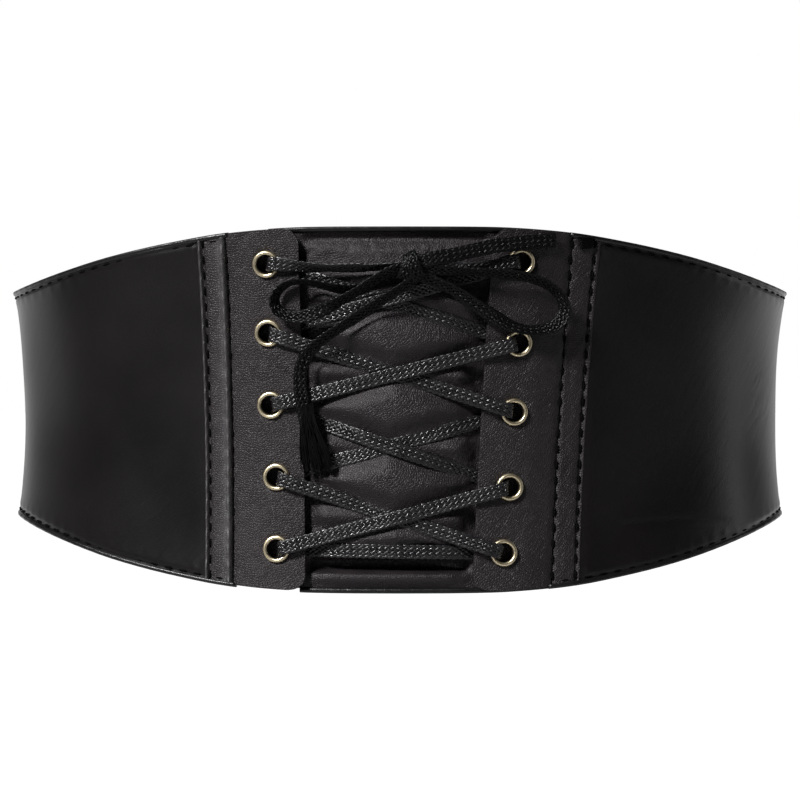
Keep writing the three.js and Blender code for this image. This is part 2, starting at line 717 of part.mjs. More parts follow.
// The turn through an eyelet, between the last stop of one leg and the first of the next
function turnStops(seat, before, after) {
  const toMiddle = -seat.side.sign * LACE_THICKNESS * LACE_TURN_INWARD;
  const across = before.across.clone().add(after.across).normalize();
  const outward = new THREE.Vector3().setFromMatrixColumn(seat.seat, 1);
  const inward = new THREE.Vector3().setFromMatrixColumn(seat.seat, 0).multiplyScalar(toMiddle);
  const middle = new THREE.Vector3().setFromMatrixPosition(seat.seat).add(inward);
  const sense = Math.sign(outward.dot(after.point.clone().sub(before.point)));
  return [-1, 1].map((end) => ({
    point: middle.clone().addScaledVector(outward, (end * sense * PLACKET_WALL) / 2),
    across,
  }));
}

// The whole held lace: from the bow to the upper left eyelet, through all ten, and back to the bow
function lacingStops() {
  const stops = [...leadStops("left")];
  LEGS.forEach((leg) => {
    const next = legStops(leg);
    const seat = SEATS.find((candidate) => candidate.name === leg.from);
    stops.push(...turnStops(seat, stops[stops.length - 1], next[0]), ...next);
  });
  const lead = leadStops("right");
  const seat = SEATS.find((candidate) => candidate.name === "right_1");
  stops.push(...turnStops(seat, stops[stops.length - 1], lead[0]), ...lead);
  return stops;
}

// A lead between the bow and an upper eyelet. The left one runs to its eyelet, the right one from it.
function leadStops(name) {
  const left = name === "left";
  const seat = SEATS.find((candidate) => candidate.name === `${name}_1`);
  const points = left ? LEAD_LEFT : LEAD_RIGHT;
  const rim = frontOut(seat.side, seat.along, seat.height);
  const inward = left ? 1 : -1;
  const end = (distance, out) => ({
    along: seat.along + inward * distance, height: seat.height, out, roll: 0,
  });
  const past = end(EYELET_RADIUS * LACE_CLEAR_PLACE, rim);
  const near = end(EYELET_HOLE_RADIUS * LACE_DIP_PLACE, rim - LACE_THICKNESS * LACE_SINK);
  return laceStretch(left ? [...points, past, near] : [near, past, ...points]);
}

// The knot, a flattened ball in front of the lace
const KNOT = { along: 4, height: 50.4, out: 10.4 };

function knot() {
  const ball = new THREE.SphereGeometry(0.5, 12, 8);
  ball.scale(KNOT_WIDTH, KNOT_DEPTH, KNOT_HEIGHT);
  const seat = onBelt(KNOT.along, KNOT.height, KNOT.out);
  ball.translate(seat.x, seat.y, seat.z);
  return closed(ball);
}

// The frayed end spreads below the hanging tail
function fray() {
  const end = TAIL_HANGING[TAIL_HANGING.length - 1];
  const rows = [0, 0.3, 0.65, 1];
  return bentSheet(even(2), rows, (column, row, depth) => {
    const fall = 1 - row;
    const width = mix(LACE_WIDTH * 0.9, FRAY_WIDTH, fall);
    const along = end.along + FRAY_DRIFT * fall + (column - 0.5) * width;
    const thick = mix(LACE_THICKNESS, FRAY_DEPTH, Math.sin(Math.PI * fall * 0.8));
    const crown = 1 - 0.5 * (2 * column - 1) ** 2;
    const height = end.height - 3 * GAP - FRAY_LENGTH * fall;
    const out = end.out - FRAY_FALL_BACK * fall;
    return onBelt(along, height, out + (depth - 0.5) * thick * crown);
  });
}

addPiece("centre_panel", centrePanel(), GRAINED_LEATHER);
addPiece("centre_top_binding", centreBinding(1), ROLLED_EDGE);
addPiece("centre_bottom_binding", centreBinding(-1), ROLLED_EDGE);
for (const [name, side] of Object.entries(SIDES)) {
  addPiece(`placket_${name}`, placket(side), GRAINED_LEATHER);
  addPiece(`channel_${name}`, channel(side), GRAINED_LEATHER);
  addPiece(`wing_${name}`, wing(side), BLACK_LEATHER);
  addPiece(`wing_${name}_top_binding`, wingBinding(side, 1), ROLLED_EDGE);
  addPiece(`wing_${name}_bottom_binding`, wingBinding(side, -1), ROLLED_EDGE);
  addPiece(`elastic_${name}`, elastic(side), ELASTIC);
}
addPiece("back_closure", backClosure(), BLACK_LEATHER);
for (const seat of SEATS) {
  addPiece(`eyelet_${seat.name}`, eyeletBody(), BRASS).applyMatrix4(seat.seat);
}

const laceSection = flatSection(LACE_WIDTH, LACE_THICKNESS);
addPiece("lacing", sweep(laceSection, lacingStops()), LACE_CORD);
addPiece("bow_knot", knot(), LACE_CORD);
addPiece("bow_loop_left", sweep(laceSection, laceStretch(LOOP_LEFT)), LACE_CORD);
addPiece("bow_loop_right", sweep(laceSection, laceStretch(LOOP_RIGHT)), LACE_CORD);
addPiece("tail_side", sweep(laceSection, laceStretch(TAIL_SIDE)), LACE_CORD);
addPiece("tail_hanging", sweep(laceSection, laceStretch(TAIL_HANGING)), LACE_CORD);
addPiece("tail_fray", fray(), LACE_CORD);

export default belt;
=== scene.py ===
"""A laced corset belt in soft black leather with an elastic back, closed as it sits round a waist.

Everything is in metres, +X to the viewer's right, -Y out of the laced front and +Z up. Most pieces
are first cut flat, as a maker cuts them: x is the distance along the belt from the middle of its
front, y is the height and z the distance out from the waist. Then they are bent round the waist.
"""
import math
import random
from collections import namedtuple

import bmesh
import bpy
import numpy as np
from mathutils import Matrix, Vector


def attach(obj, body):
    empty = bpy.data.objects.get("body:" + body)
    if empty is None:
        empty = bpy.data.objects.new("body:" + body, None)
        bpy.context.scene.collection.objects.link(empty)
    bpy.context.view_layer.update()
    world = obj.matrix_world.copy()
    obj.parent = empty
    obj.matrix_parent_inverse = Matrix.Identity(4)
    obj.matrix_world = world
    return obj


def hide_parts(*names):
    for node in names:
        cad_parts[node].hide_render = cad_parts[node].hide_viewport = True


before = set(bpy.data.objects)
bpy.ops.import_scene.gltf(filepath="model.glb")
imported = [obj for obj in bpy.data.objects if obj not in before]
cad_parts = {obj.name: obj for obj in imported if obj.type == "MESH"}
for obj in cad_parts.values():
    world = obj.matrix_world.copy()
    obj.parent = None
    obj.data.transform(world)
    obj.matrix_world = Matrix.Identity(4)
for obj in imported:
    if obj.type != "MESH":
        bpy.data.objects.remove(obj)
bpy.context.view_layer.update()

MM = 0.001

# The waist and the belt's flare
WAIST_WIDTH = 276.8 * MM
WAIST_DEPTH = 164 * MM
FLARE = 4.1 * MM
FLARE_HEIGHT = 47 * MM
NARROWEST_HEIGHT = -5 * MM
FRONT_FLARE_SHARE = 0.35

# Heights
FRONT_HEIGHT = 130 * MM
SIDE_HEIGHT = 83 * MM
ELASTIC_HEIGHT = 78 * MM
BINDING_HEIGHT = 1.9 * MM
PLACKET_DROP = 0.9 * MM

# Lengths round the waist
LACED_WIDTH = 62.3 * MM
LACED_SHIFT = -2.65 * MM
PLACKET_WIDTH = 26 * MM
FACING_LEFT = 25.8 * MM
FACING_RIGHT = 28.1 * MM
CHANNEL_WIDTH = 8.6 * MM
WING_END = 200 * MM
ELASTIC_OVERLAP = 11 * MM
CLOSURE_WIDTH = 34 * MM
LEAN_LEFT = 1.2 * MM
LEAN_RIGHT = 3.7 * MM
CORNER_RADIUS = 6 * MM

# Walls and clearances
GAP = 0.3 * MM
PANEL_WALL = 1 * MM
PADDING = 3 * MM
PUFF = 3 * MM
PLACKET_WALL = 1.5 * MM
PLACKET_SEAT = 1.9 * MM
PLACKET_RISE = 0.42
CHANNEL_WALL = 1.5 * MM
CHANNEL_CROWN = 0.9 * MM
WING_WALL = 2 * MM
WING_LIFT = 1 * MM
WING_LIFT_LENGTH = 15 * MM
ELASTIC_WALL = 1.5 * MM
CLOSURE_WALL = 2 * MM
BINDING_BULGE = 0.7 * MM
CENTRE_BINDING_WALL = 1.8 * MM

# Eyelets
EYELET_RADIUS = 4.9 * MM
EYELET_HOLE_RADIUS = 3.3 * MM
EYELET_BARREL_WALL = 0.4 * MM
EYELET_RIM = 0.9 * MM
EYELET_LIP = 0.3 * MM
EYELET_LIP_WIDTH = 1 * MM
EYELET_INSET = 10.8 * MM

# Lace
LACE_WIDTH = 5.3 * MM
LACE_THICKNESS = 1 * MM
LACE_GAP = 0.35 * MM
LACE_SWAY = math.radians(9)
YARNS = 7
YARN_CROSSING = 8 * MM
FRAY_LENGTH = 16.5 * MM
FRAY_WIDTH = 10 * MM

# Where the lace dives into an eyelet: it leaves the rim at past and is sunk at near, as distances
# from the eyelet's middle
LACE_PAST = EYELET_RADIUS * 0.95
LACE_NEAR = EYELET_HOLE_RADIUS * 0.4
LACE_SUNK = LACE_THICKNESS * 0.55

# Stitches
STITCH_PITCH = 5.6 * MM
STITCH_LENGTH = 3.4 * MM
THREAD = 0.95 * MM
TUCK = 0.5 * MM
HEM_STITCH_INSET = 2.5 * MM
REAR_STITCH_INSET = 4 * MM
CLOSURE_STITCH_INSET = 3 * MM
SEAM_LIP = 1.7 * MM
LIP_OVERLAP = 0.7 * MM

# Where the belt's edge runs: along is a share of a quarter of the waist, and rise is a share of
# half the difference between the front's and the side's height
OUTLINE = [
    (0, 1), (0.176, 0.994), (0.256, 0.968), (0.341, 0.911), (0.426, 0.815), (0.512, 0.696),
    (0.603, 0.549), (0.705, 0.36), (0.767, 0.247), (0.841, 0.126), (0.92, 0.035), (1, 0),
]

# The padding from the centre panel's bottom to its top: a share of the half height, and a share
# of the padding. The dip near the bottom is the sewn crease.
PADDING_ROWS = [
    (-1, 0), (-0.965, 0.32), (-0.92, 0.42), (-0.885, 0.08), (-0.84, 0.12), (-0.78, 0.72),
    (-0.62, 0.95), (-0.35, 1), (0, 1), (0.35, 1), (0.62, 0.95), (0.8, 0.75), (0.9, 0.45),
    (0.955, 0.08), (1, 0),
]

# The two sides: which way along, how far the facing's edge leans and is shifted, how wide the
# facing is, and how strongly its seams are puckered and rubbed bright, as a share of the left's
Side = namedtuple("Side", "name sign lean shift facing worn")
SIDES = [
    Side("left", -1, LEAN_LEFT, -LACED_SHIFT, FACING_LEFT, 1),
    Side("right", 1, LEAN_RIGHT, LACED_SHIFT, FACING_RIGHT, 0.15),
]

# The eyelets by side from the top: inset as a share of the usual distance from the facing's edge,
# and height as a share of half the front's height
EYELETS = {
    "left": [(1.06, 0.795), (1.07, 0.42), (1.05, 0.026), (0.9, -0.366), (0.92, -0.758)],
    "right": [(0.95, 0.806), (1.05, 0.365), (1.05, -0.011), (1.04, -0.42), (0.95, -0.778)],
}

# The legs of the lacing in order: from, to, the face of the facings it runs on, and whether it
# lies over the leg that it crosses
LEGS = [
    ("left_1", "right_2", "back", False),
    ("right_2", "left_3", "front", True),
    ("left_3", "right_4", "back", True),
    ("right_4", "left_5", "front", True),
    ("left_5", "right_5", "back", False),
    ("right_5", "left_4", "front", False),
    ("left_4", "right_3", "back", False),
    ("right_3", "left_2", "front", False),
    ("left_2", "right_1", "back", True),
]

# The free stretches of the lace, point by point: metres along, high and out, and the angle in
# degrees that the lace is turned from lying flat
LEAD_LEFT = [
    (0.002, 0.0506, 0.01, -30), (-0.0028, 0.0507, 0.0092, -45), (-0.0105, 0.0504, 0.0084, -58),
    (-0.0236, 0.0503, 0.0076, -55), (-0.0345, 0.0508, 0.0069, -20),
]
LEAD_RIGHT = [
    (0.033, 0.051, 0.0069, 10), (0.022, 0.0503, 0.0074, 30), (0.0107, 0.0508, 0.0084, 35),
    (0.006, 0.0506, 0.0094, 30),
]
LOOP_RIGHT = [
    (0.0065, 0.0502, 0.0112, 20), (0.011, 0.0498, 0.0114, 35), (0.02, 0.0492, 0.0103, 42),
    (0.0294, 0.0488, 0.0096, 45), (0.0383, 0.0478, 0.0092, 48), (0.0452, 0.0465, 0.0084, 52),
    (0.051, 0.0439, 0.0077, 50), (0.0548, 0.0406, 0.0073, 45), (0.0567, 0.0369, 0.007, 40),
    (0.0564, 0.0332, 0.0069, 40), (0.054, 0.0304, 0.007, 45), (0.05, 0.0287, 0.0072, 50),
    (0.0452, 0.0283, 0.0076, 50), (0.0388, 0.0296, 0.008, 35), (0.0323, 0.033, 0.0079, 10),
    (0.0248, 0.0379, 0.008, -25), (0.0186, 0.0422, 0.0088, -40), (0.0102, 0.0462, 0.0098, -35),
    (0.006, 0.0482, 0.0102, -20),
]
LOOP_LEFT = [
    (0.0022, 0.0474, 0.0092, 0), (-0.0022, 0.0458, 0.0085, -25), (-0.0094, 0.0442, 0.0079, -40),
    (-0.0155, 0.0426, 0.0078, -45), (-0.0227, 0.0434, 0.0079, -48), (-0.0288, 0.045, 0.0079, -50),
    (-0.0339, 0.0456, 0.0079, -55), (-0.0384, 0.0446, 0.008, -58), (-0.0416, 0.042, 0.008, -60),
    (-0.0428, 0.0388, 0.0081, -60), (-0.0418, 0.0356, 0.0082, -55), (-0.0386, 0.0337, 0.0084, -45),
    (-0.0338, 0.0332, 0.0088, -25), (-0.0275, 0.035, 0.0096, 10), (-0.0205, 0.0385, 0.0106, 38),
    (-0.0135, 0.0426, 0.0112, 48), (-0.0074, 0.0466, 0.0116, 45), (-0.0026, 0.0492, 0.012, 30),
    (0.0022, 0.0502, 0.0118, 10),
]
TAIL_SIDE = [
    (0.0055, 0.0524, 0.0122, 20), (0.0098, 0.0533, 0.0129, 15), (0.0175, 0.0548, 0.0118, 5),
    (0.0245, 0.0564, 0.0104, 0), (0.0315, 0.0579, 0.0093, -5), (0.0385, 0.0586, 0.0082, 0),
    (0.0456, 0.0594, 0.0066, 0), (0.0535, 0.06, 0.0055, 0),
]
TAIL_HANGING = [
    (0.0045, 0.0458, 0.011, -20), (0.0009, 0.0435, 0.011, -38), (-0.006, 0.039, 0.0102, -45),
    (-0.0125, 0.0344, 0.0098, -45), (-0.0195, 0.0296, 0.0106, -40), (-0.026, 0.0252, 0.0102, -35),
    (-0.031, 0.0206, 0.009, -30), (-0.0336, 0.0152, 0.0084, -28), (-0.034, 0.009, 0.0082, -20),
    (-0.0332, 0.002, 0.0084, -8), (-0.032, -0.005, 0.0076, 0),
]
KNOT = (0.004, 0.0504, 0.0104)

# The knot's turns as rings: tilt in degrees, half the height or width, half the depth, and how
# far the ring is moved along and up
KNOT_TURNS = [
    (5, 5.2 * MM, 2.6 * MM, 0 * MM, -0.6 * MM),
    (62, 5.3 * MM, 3.0 * MM, -1.0 * MM, 0.2 * MM),
    (112, 5.2 * MM, 3.4 * MM, 0.8 * MM, 0.3 * MM),
]

# The sewn crease near the panel's bottom, as a share of its half height
CREASE = -0.874


def mix(a, b, share):
    return a + (b - a) * share


def ease(low, high, at):
    """Rises smoothly from 0 at low to 1 at high."""
    share = np.clip((at - low) / (high - low), 0, 1)
    return share * share * (3 - 2 * share)


def bell(at, width):
    """A smooth hump of height 1 at 0."""
    return np.exp(-(at / width) ** 2)


def read_table(rows, at):
    """A smooth reading of a table's second column against its first."""
    xs, ys = np.array(rows, float).T
    at = np.clip(at, xs[0], xs[-1])
    i = np.clip(np.searchsorted(xs, at, side="right") - 1, 0, len(xs) - 2)
    low = np.maximum(np.arange(len(xs)) - 1, 0)
    high = np.minimum(np.arange(len(xs)) + 1, len(xs) - 1)
    slope = (ys[high] - ys[low]) / (xs[high] - xs[low])
    step = xs[i + 1] - xs[i]
    t = (at - xs[i]) / step
    bend = t * (1 - t) * step * (slope[i] * (1 - t) - slope[i + 1] * t)
    return ys[i] + (ys[i + 1] - ys[i]) * t * t * (3 - 2 * t) + bend


def swell(along, height, length, seed):
    """An uneven swell, mostly between -1 and 1, of waves of about this length."""
    dice = random.Random(seed)
    waves = 8
    total = 0
    for _ in range(waves):
        turn = dice.uniform(0, math.tau)
        phase = dice.uniform(0, math.tau)
        rate = math.tau / (length * dice.uniform(0.7, 1.5))
        total = total + np.sin((along * math.cos(turn) + height * math.sin(turn)) * rate + phase)
    return total / math.sqrt(2 * waves)


# The waist line
WAIST_STEPS = 4000
WAIST_TURNS = np.linspace(-math.pi / 2, 1.5 * math.pi, WAIST_STEPS + 1)
WAIST_RUN = np.concatenate([[0], np.cumsum(np.hypot(
    np.diff(WAIST_WIDTH / 2 * np.cos(WAIST_TURNS)),
    np.diff(WAIST_DEPTH / 2 * np.sin(WAIST_TURNS))))])
WAIST_LENGTH = WAIST_RUN[-1]
QUARTER = WAIST_LENGTH / 4


def on_belt(along, height, out):
    """Points in space for places given along the belt, up it and out from the waist."""
    along, height, out = np.broadcast_arrays(along, height, out)
    turn = np.interp(np.mod(along, WAIST_LENGTH), WAIST_RUN, WAIST_TURNS)
    tangent = np.stack([-WAIST_WIDTH * np.sin(turn), WAIST_DEPTH * np.cos(turn)], axis=-1)
    tangent /= np.linalg.norm(tangent, axis=-1, keepdims=True)
    flare = FLARE * mix(FRONT_FLARE_SHARE, 1, np.cos(turn) ** 2)
    reach = out + flare * ((height - NARROWEST_HEIGHT) / FLARE_HEIGHT) ** 2
    x = WAIST_WIDTH / 2 * np.cos(turn) + tangent[..., 1] * reach
    y = WAIST_DEPTH / 2 * np.sin(turn) - tangent[..., 0] * reach
    return np.stack([x, y, height], axis=-1)


def half_height(along):
    rise = read_table(OUTLINE, np.abs(along) / QUARTER)
    return mix(SIDE_HEIGHT, FRONT_HEIGHT, rise) / 2


def panel_top(along):
    return half_height(along) - BINDING_HEIGHT - GAP


def tucked_top(along):
    """The top of a sheet whose edge is hidden in its hem."""
    return half_height(along) - BINDING_HEIGHT + TUCK


def placket_edge(side, height):
    return LACED_WIDTH / 2 + side.shift + side.lean * height / (FRONT_HEIGHT / 2)


def channel_seam(side, height):
    return placket_edge(side, height) + side.facing


def wing_seam(side, height):
    return channel_seam(side, height) + CHANNEL_WIDTH


PLACKET_ROOM = PANEL_WALL + 2 * LACE_GAP + LACE_THICKNESS + EYELET_LIP + GAP


def placket_back(side, along, height):
    from_seam = channel_seam(side, height) - np.abs(along)
    return mix(PLACKET_SEAT, PLACKET_ROOM, ease(0, side.facing * PLACKET_RISE, from_seam))


def padding(along, height):
    left, right = -placket_edge(SIDES[0], height), placket_edge(SIDES[1], height)
    across = (2 * along - left - right) / (right - left)
    full = read_table(PADDING_ROWS, height / panel_top(along))
    return PADDING * full * np.maximum(0, 1 - across * across)


def wing_back(along):
    from_seam = np.abs(along) - LACED_WIDTH / 2 - PLACKET_WIDTH - CHANNEL_WIDTH
    rear_start = WING_END - ELASTIC_OVERLAP - GAP
    front = WING_LIFT * (1 - ease(0, WING_LIFT_LENGTH, from_seam))
    rear = ease(rear_start - ELASTIC_OVERLAP, rear_start - 2 * GAP, np.abs(along))
    return front + (ELASTIC_WALL + GAP) * rear


def unit(vectors):
    return vectors / np.linalg.norm(vectors, axis=-1, keepdims=True)


def directions(along, height, out_at):
    """The belt's own directions at a place: along it, up it and out of it."""
    reach = 0.5 * MM
    point = lambda a, h: on_belt(a, h, out_at(a, h))
    along_it = unit(point(along + reach, height) - point(along - reach, height))
    up_it = unit(point(along, height + reach) - point(along, height - reach))
    return along_it, up_it, unit(np.cross(along_it, up_it))


def new_object(name, data):
    """An object in the scene that shows this mesh, lamp or camera."""
    made = bpy.data.objects.new(name, data)
    bpy.context.scene.collection.objects.link(made)
    return made


# Camera
def set_camera():
    """At the photograph's angle: level with the belt and far off, a little above it."""
    distance, above, aim_height = 1.5, math.radians(1.7), 1.1 * MM
    data = bpy.data.cameras.new("camera")
    data.lens, data.sensor_width, data.clip_end = 180, 36, 20
    camera = new_object("camera", data)
    camera.location = (0, -distance * math.cos(above), aim_height + distance * math.sin(above))
    camera.rotation_euler = (math.pi / 2 - above, 0, 0)
    bpy.context.scene.camera = camera


# Materials
def paint(code):
    """The linear colour of an sRGB hex value."""
    parts = [((code >> shift) & 255) / 255 for shift in (16, 8, 0)]
    linear = [p / 12.92 if p <= 0.04045 else ((p + 0.055) / 1.055) ** 2.4 for p in parts]
    return (*linear, 1)


def feed(tree, node, inputs):
    """Gives each input of a node its value, or links it to the socket that feeds it."""
    for name, value in inputs.items():
        if isinstance(value, bpy.types.NodeSocket):
            tree.links.new(value, node.inputs[name])
        else:
            node.inputs[name].default_value = value


def add(tree, kind, inputs=None, **settings):
    """Adds a node with its settings and its inputs."""
    made = tree.nodes.new("ShaderNode" + kind)
    for name, value in settings.items():
        setattr(made, name, value)
    feed(tree, made, inputs or {})
    return made


def per_metre(size):
    """A pattern's scale for this size of its cells."""
    return 1 / size


def new_material(name):
    """A material with a principled shader. Returns the material, its tree and the shader."""
    material = bpy.data.materials.new(name)
    material.use_nodes = True
    return material, material.node_tree, material.node_tree.nodes["Principled BSDF"]


def flat_place(tree, size, turn=0):
    """Coordinates on the flat cut piece, in cells of this width and height, turned."""
    place = add(tree, "UVMap", uv_map="flat").outputs["UV"]
    if turn:
        place = add(tree, "VectorRotate", {"Vector": place, "Angle": turn},
                    rotation_type="Z_AXIS").outputs["Vector"]
    scale = (per_metre(size[0]), per_metre(size[1]), 1)
    return add(tree, "Mapping", {"Vector": place, "Scale": scale}).outputs["Vector"]


def leather(name, colours, roughness, grain, wrinkle, grain_depth, wrinkle_depth, sheen_patch,
            tint=(1, 1, 1, 1)):
    """Coated leather: colours and roughness vary in soft patches, over a grain of rounded cells
    and fine slanting wrinkles. Where it stands proud at a seam it is rubbed to a gloss."""
    material, tree, shader = new_material(name)
    rubbed = add(tree, "Attribute", attribute_name="rubbed").outputs["Fac"]
    patches = add(tree, "TexNoise", {
        "Vector": flat_place(tree, (sheen_patch, sheen_patch)), "Scale": 1.0, "Detail": 3.0})
    tone = add(tree, "ValToRGB", {"Fac": patches.outputs["Fac"]})
    for stop, place, colour in zip(tone.color_ramp.elements, (0.35, 0.68), colours):
        stop.position = place
        stop.color = paint(colour)
    cells = add(tree, "TexVoronoi", {
        "Vector": flat_place(tree, (grain, grain)), "Scale": 1.0, "Randomness": 1.0},
        feature="DISTANCE_TO_EDGE", voronoi_dimensions="2D")
    domes = add(tree, "MapRange", {
        "Value": cells.outputs["Distance"], "From Max": 0.32}, interpolation_type="SMOOTHSTEP")
    lines = add(tree, "TexNoise", {
        "Vector": flat_place(tree, wrinkle, math.radians(40)), "Scale": 1.0, "Detail": 2.0,
        "Distortion": 0.6}, noise_dimensions="2D")
    shine = add(tree, "MapRange", {
        "Value": patches.outputs["Fac"], "From Min": 0.3, "From Max": 0.7,
        "To Min": roughness[0], "To Max": roughness[1]})
    creased = add(tree, "Bump", {
        "Height": lines.outputs["Fac"], "Strength": 1.0, "Distance": wrinkle_depth})
    grained = add(tree, "Bump", {
        "Height": domes.outputs["Result"], "Strength": 1.0, "Distance": grain_depth,
        "Normal": creased.outputs["Normal"]})
    feed(tree, shader, {
        "IOR": 1.5, "Specular Tint": tint, "Coat IOR": 1.8, "Coat Roughness": 0.5,
        "Coat Weight": rubbed, "Base Color": tone.outputs["Color"],
        "Roughness": shine.outputs["Result"], "Normal": grained.outputs["Normal"]})
    return material


def smooth_leather():
    """Polyurethane-coated leather pressed smooth: a broad soft sheen over a grain that barely
    shows."""
    return leather("smooth_coated_leather", (0x0d0b0b, 0x141112), (0.29, 0.37), 0.7 * MM,
                   (3 * MM, 12 * MM), 0.012 * MM, 0.06 * MM, 60 * MM)


def grained_leather():
    """Coated leather embossed with a fine pebble grain: half matt, with pinpoint highlights. The
    real grain of about 0.5 mm is drawn at 0.8 mm, so that it shows."""
    return leather("pebbled_coated_leather", (0x171315, 0x1f1a1d), (0.48, 0.58), 0.8 * MM,
                   (1.4 * MM, 6 * MM), 0.1 * MM, 0.2 * MM, 18 * MM, (1, 0.96, 0.985, 1))


def edge_leather():
    """The same smooth leather rolled over an edge: tight, so it shines more."""
    return leather("rolled_leather_edge", (0x0f0f10, 0x181718), (0.3, 0.38), 0.6 * MM,
                   (1.2 * MM, 4 * MM), 0.02 * MM, 0.08 * MM, 10 * MM)


def elastic_webbing():
    """Knitted rubber-cored webbing: matt ribs round the waist with fine upright stitches between
    them."""
    material, tree, shader = new_material("knitted_elastic")
    knit = add(tree, "TexWave", {
        "Vector": flat_place(tree, (1.1 * MM, 1.1 * MM)), "Scale": 0.159, "Distortion": 0.4},
        bands_direction="X")
    fuzz = add(tree, "TexNoise", {
        "Vector": flat_place(tree, (0.5 * MM, 2 * MM)), "Scale": 1.0, "Detail": 3.0})
    tone = add(tree, "MixRGB", {
        "Fac": fuzz.outputs["Fac"], "Color1": paint(0x0b0b0c), "Color2": paint(0x1b1b1d)})
    ribbed = add(tree, "Bump", {
        "Height": knit.outputs["Fac"], "Strength": 0.8, "Distance": 0.12 * MM})
    fuzzy = add(tree, "Bump", {
        "Height": fuzz.outputs["Fac"], "Strength": 0.6, "Distance": 0.1 * MM,
        "Normal": ribbed.outputs["Normal"]})
    feed(tree, shader, {
        "IOR": 1.5, "Roughness": 0.82, "Sheen Weight": 0.15, "Sheen Roughness": 0.4,
        "Base Color": tone.outputs["Color"], "Normal": fuzzy.outputs["Normal"]})
    return material


def braided_polyester(name, colours, roughness, gloss):
    """Bright polyester yarns in a flat braid: each bundle of filaments catches a glint where it
    turns over its neighbour."""
    material, tree, shader = new_material(name)
    strands = add(tree, "TexNoise", {
        "Vector": flat_place(tree, (0.5 * MM, 0.5 * MM)), "Scale": 1.0, "Detail": 2.0})
    tone = add(tree, "MixRGB", {
        "Fac": strands.outputs["Fac"], "Color1": paint(colours[0]), "Color2": paint(colours[1])})
    worn = add(tree, "TexNoise", {
        "Vector": flat_place(tree, (5 * MM, 2 * MM)), "Scale": 1.0, "Detail": 3.0})
    shine = add(tree, "MapRange", {
        "Value": worn.outputs["Fac"], "From Min": 0.35, "From Max": 0.65,
        "To Min": roughness[0], "To Max": roughness[1]})
    rough = add(tree, "Bump", {
        "Height": strands.outputs["Fac"], "Strength": 0.8, "Distance": 0.14 * MM})
    feed(tree, shader, {
        "IOR": 1.58, "Specular IOR Level": gloss, "Base Color": tone.outputs["Color"],
        "Roughness": shine.outputs["Result"], "Normal": rough.outputs["Normal"]})
    return material


def loose_polyester():
    """The same yarns unbraided: painted darker than the braid, as painted shade among the loose
    filaments, with a faint streak of gloss down each.
    """
    material, tree, shader = new_material("loose_polyester_yarn")
    streaks = add(tree, "TexNoise", {
        "Vector": add(tree, "TexCoord").outputs["Object"], "Scale": per_metre(0.6 * MM)})
    tone = add(tree, "MixRGB", {
        "Fac": streaks.outputs["Fac"], "Color1": paint(0x020203), "Color2": paint(0x0b0b0d)})
    shine = add(tree, "MapRange", {
        "Value": streaks.outputs["Fac"], "To Min": 0.4, "To Max": 0.7})
    feed(tree, shader, {
        "IOR": 1.5, "Specular IOR Level": 0.15, "Base Color": tone.outputs["Color"],
        "Roughness": shine.outputs["Result"]})
    return material


def bonded_thread():
    """Black bonded sewing thread: nearly matt, so that it reads darker than the leather."""
    material, tree, shader = new_material("bonded_thread")
    twist = add(tree, "TexNoise", {
        "Vector": add(tree, "TexCoord").outputs["Object"], "Scale": per_metre(0.5 * MM)})
    tone = add(tree, "MixRGB", {
        "Fac": twist.outputs["Fac"], "Color1": paint(0x020202), "Color2": paint(0x0b0b0b)})
    feed(tree, shader, {
        "IOR": 1.45, "Specular IOR Level": 0.07, "Roughness": 0.85,
        "Base Color": tone.outputs["Color"]})
    return material


def antique_brass():
    """Brass pressed, plated and darkened, then rubbed bright again on its rim: a pale ring round
    a brown barrel."""
    material, tree, shader = new_material("antique_brass")
    recess = add(tree, "Attribute", attribute_name="recess").outputs["Fac"]
    marks = add(tree, "TexNoise", {
        "Vector": add(tree, "TexCoord").outputs["Object"], "Scale": per_metre(0.9 * MM),
        "Detail": 4.0})
    tone = add(tree, "ValToRGB", {"Fac": recess})
    for stop, place, colour in zip(tone.color_ramp.elements, (0.2, 0.8), (0xeedfbd, 0x4a3820)):
        stop.position = place
        stop.color = paint(colour)
    shine = add(tree, "MapRange", {
        "Value": marks.outputs["Fac"], "To Min": 0.28, "To Max": 0.48})
    scuffed = add(tree, "Bump", {
        "Height": marks.outputs["Fac"], "Strength": 0.3, "Distance": 0.04 * MM})
    feed(tree, shader, {
        "Metallic": 1.0, "Base Color": tone.outputs["Color"],
        "Roughness": shine.outputs["Result"], "Normal": scuffed.outputs["Normal"]})
    return material


def stage_board():
    """Matt studio board, lit through from below where it lies behind the belt."""
    material, tree, shader = new_material("white_board")
    place = add(tree, "SeparateXYZ", {"Vector": add(tree, "TexCoord").outputs["Object"]})
    glow = add(tree, "MapRange", {
        "Value": place.outputs["Y"], "From Min": 0.1, "From Max": 0.4, "To Min": 0.07},
        interpolation_type="SMOOTHSTEP")
    feed(tree, shader, {
        "Roughness": 0.9, "Base Color": paint(0xc0c0c0), "Emission Color": (1, 1, 1, 1),
        "Emission Strength": glow.outputs["Result"]})
    return material


# Pieces
def finish_mesh(name, mesh, material, stands_for=()):
    """Makes a mesh a finished piece of the belt."""
    mesh.materials.clear()
    mesh.materials.append(material)
    mesh.shade_smooth()
    made = new_object(name, mesh)
    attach(made, "root")
    if stands_for:
        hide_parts(*stands_for)
    return made


def finish_piece(name, bm, material, stands_for=()):
    mesh = bpy.data.meshes.new(name)
    bm.to_mesh(mesh)
    bm.free()
    return finish_mesh(name, mesh, material, stands_for)


def corners(bm):
    return np.array([corner.co for corner in bm.verts])


def set_corners(bm, points):
    for corner, point in zip(bm.verts, points):
        corner.co = point


def even(steps):
    return np.linspace(0, 1, steps + 1)


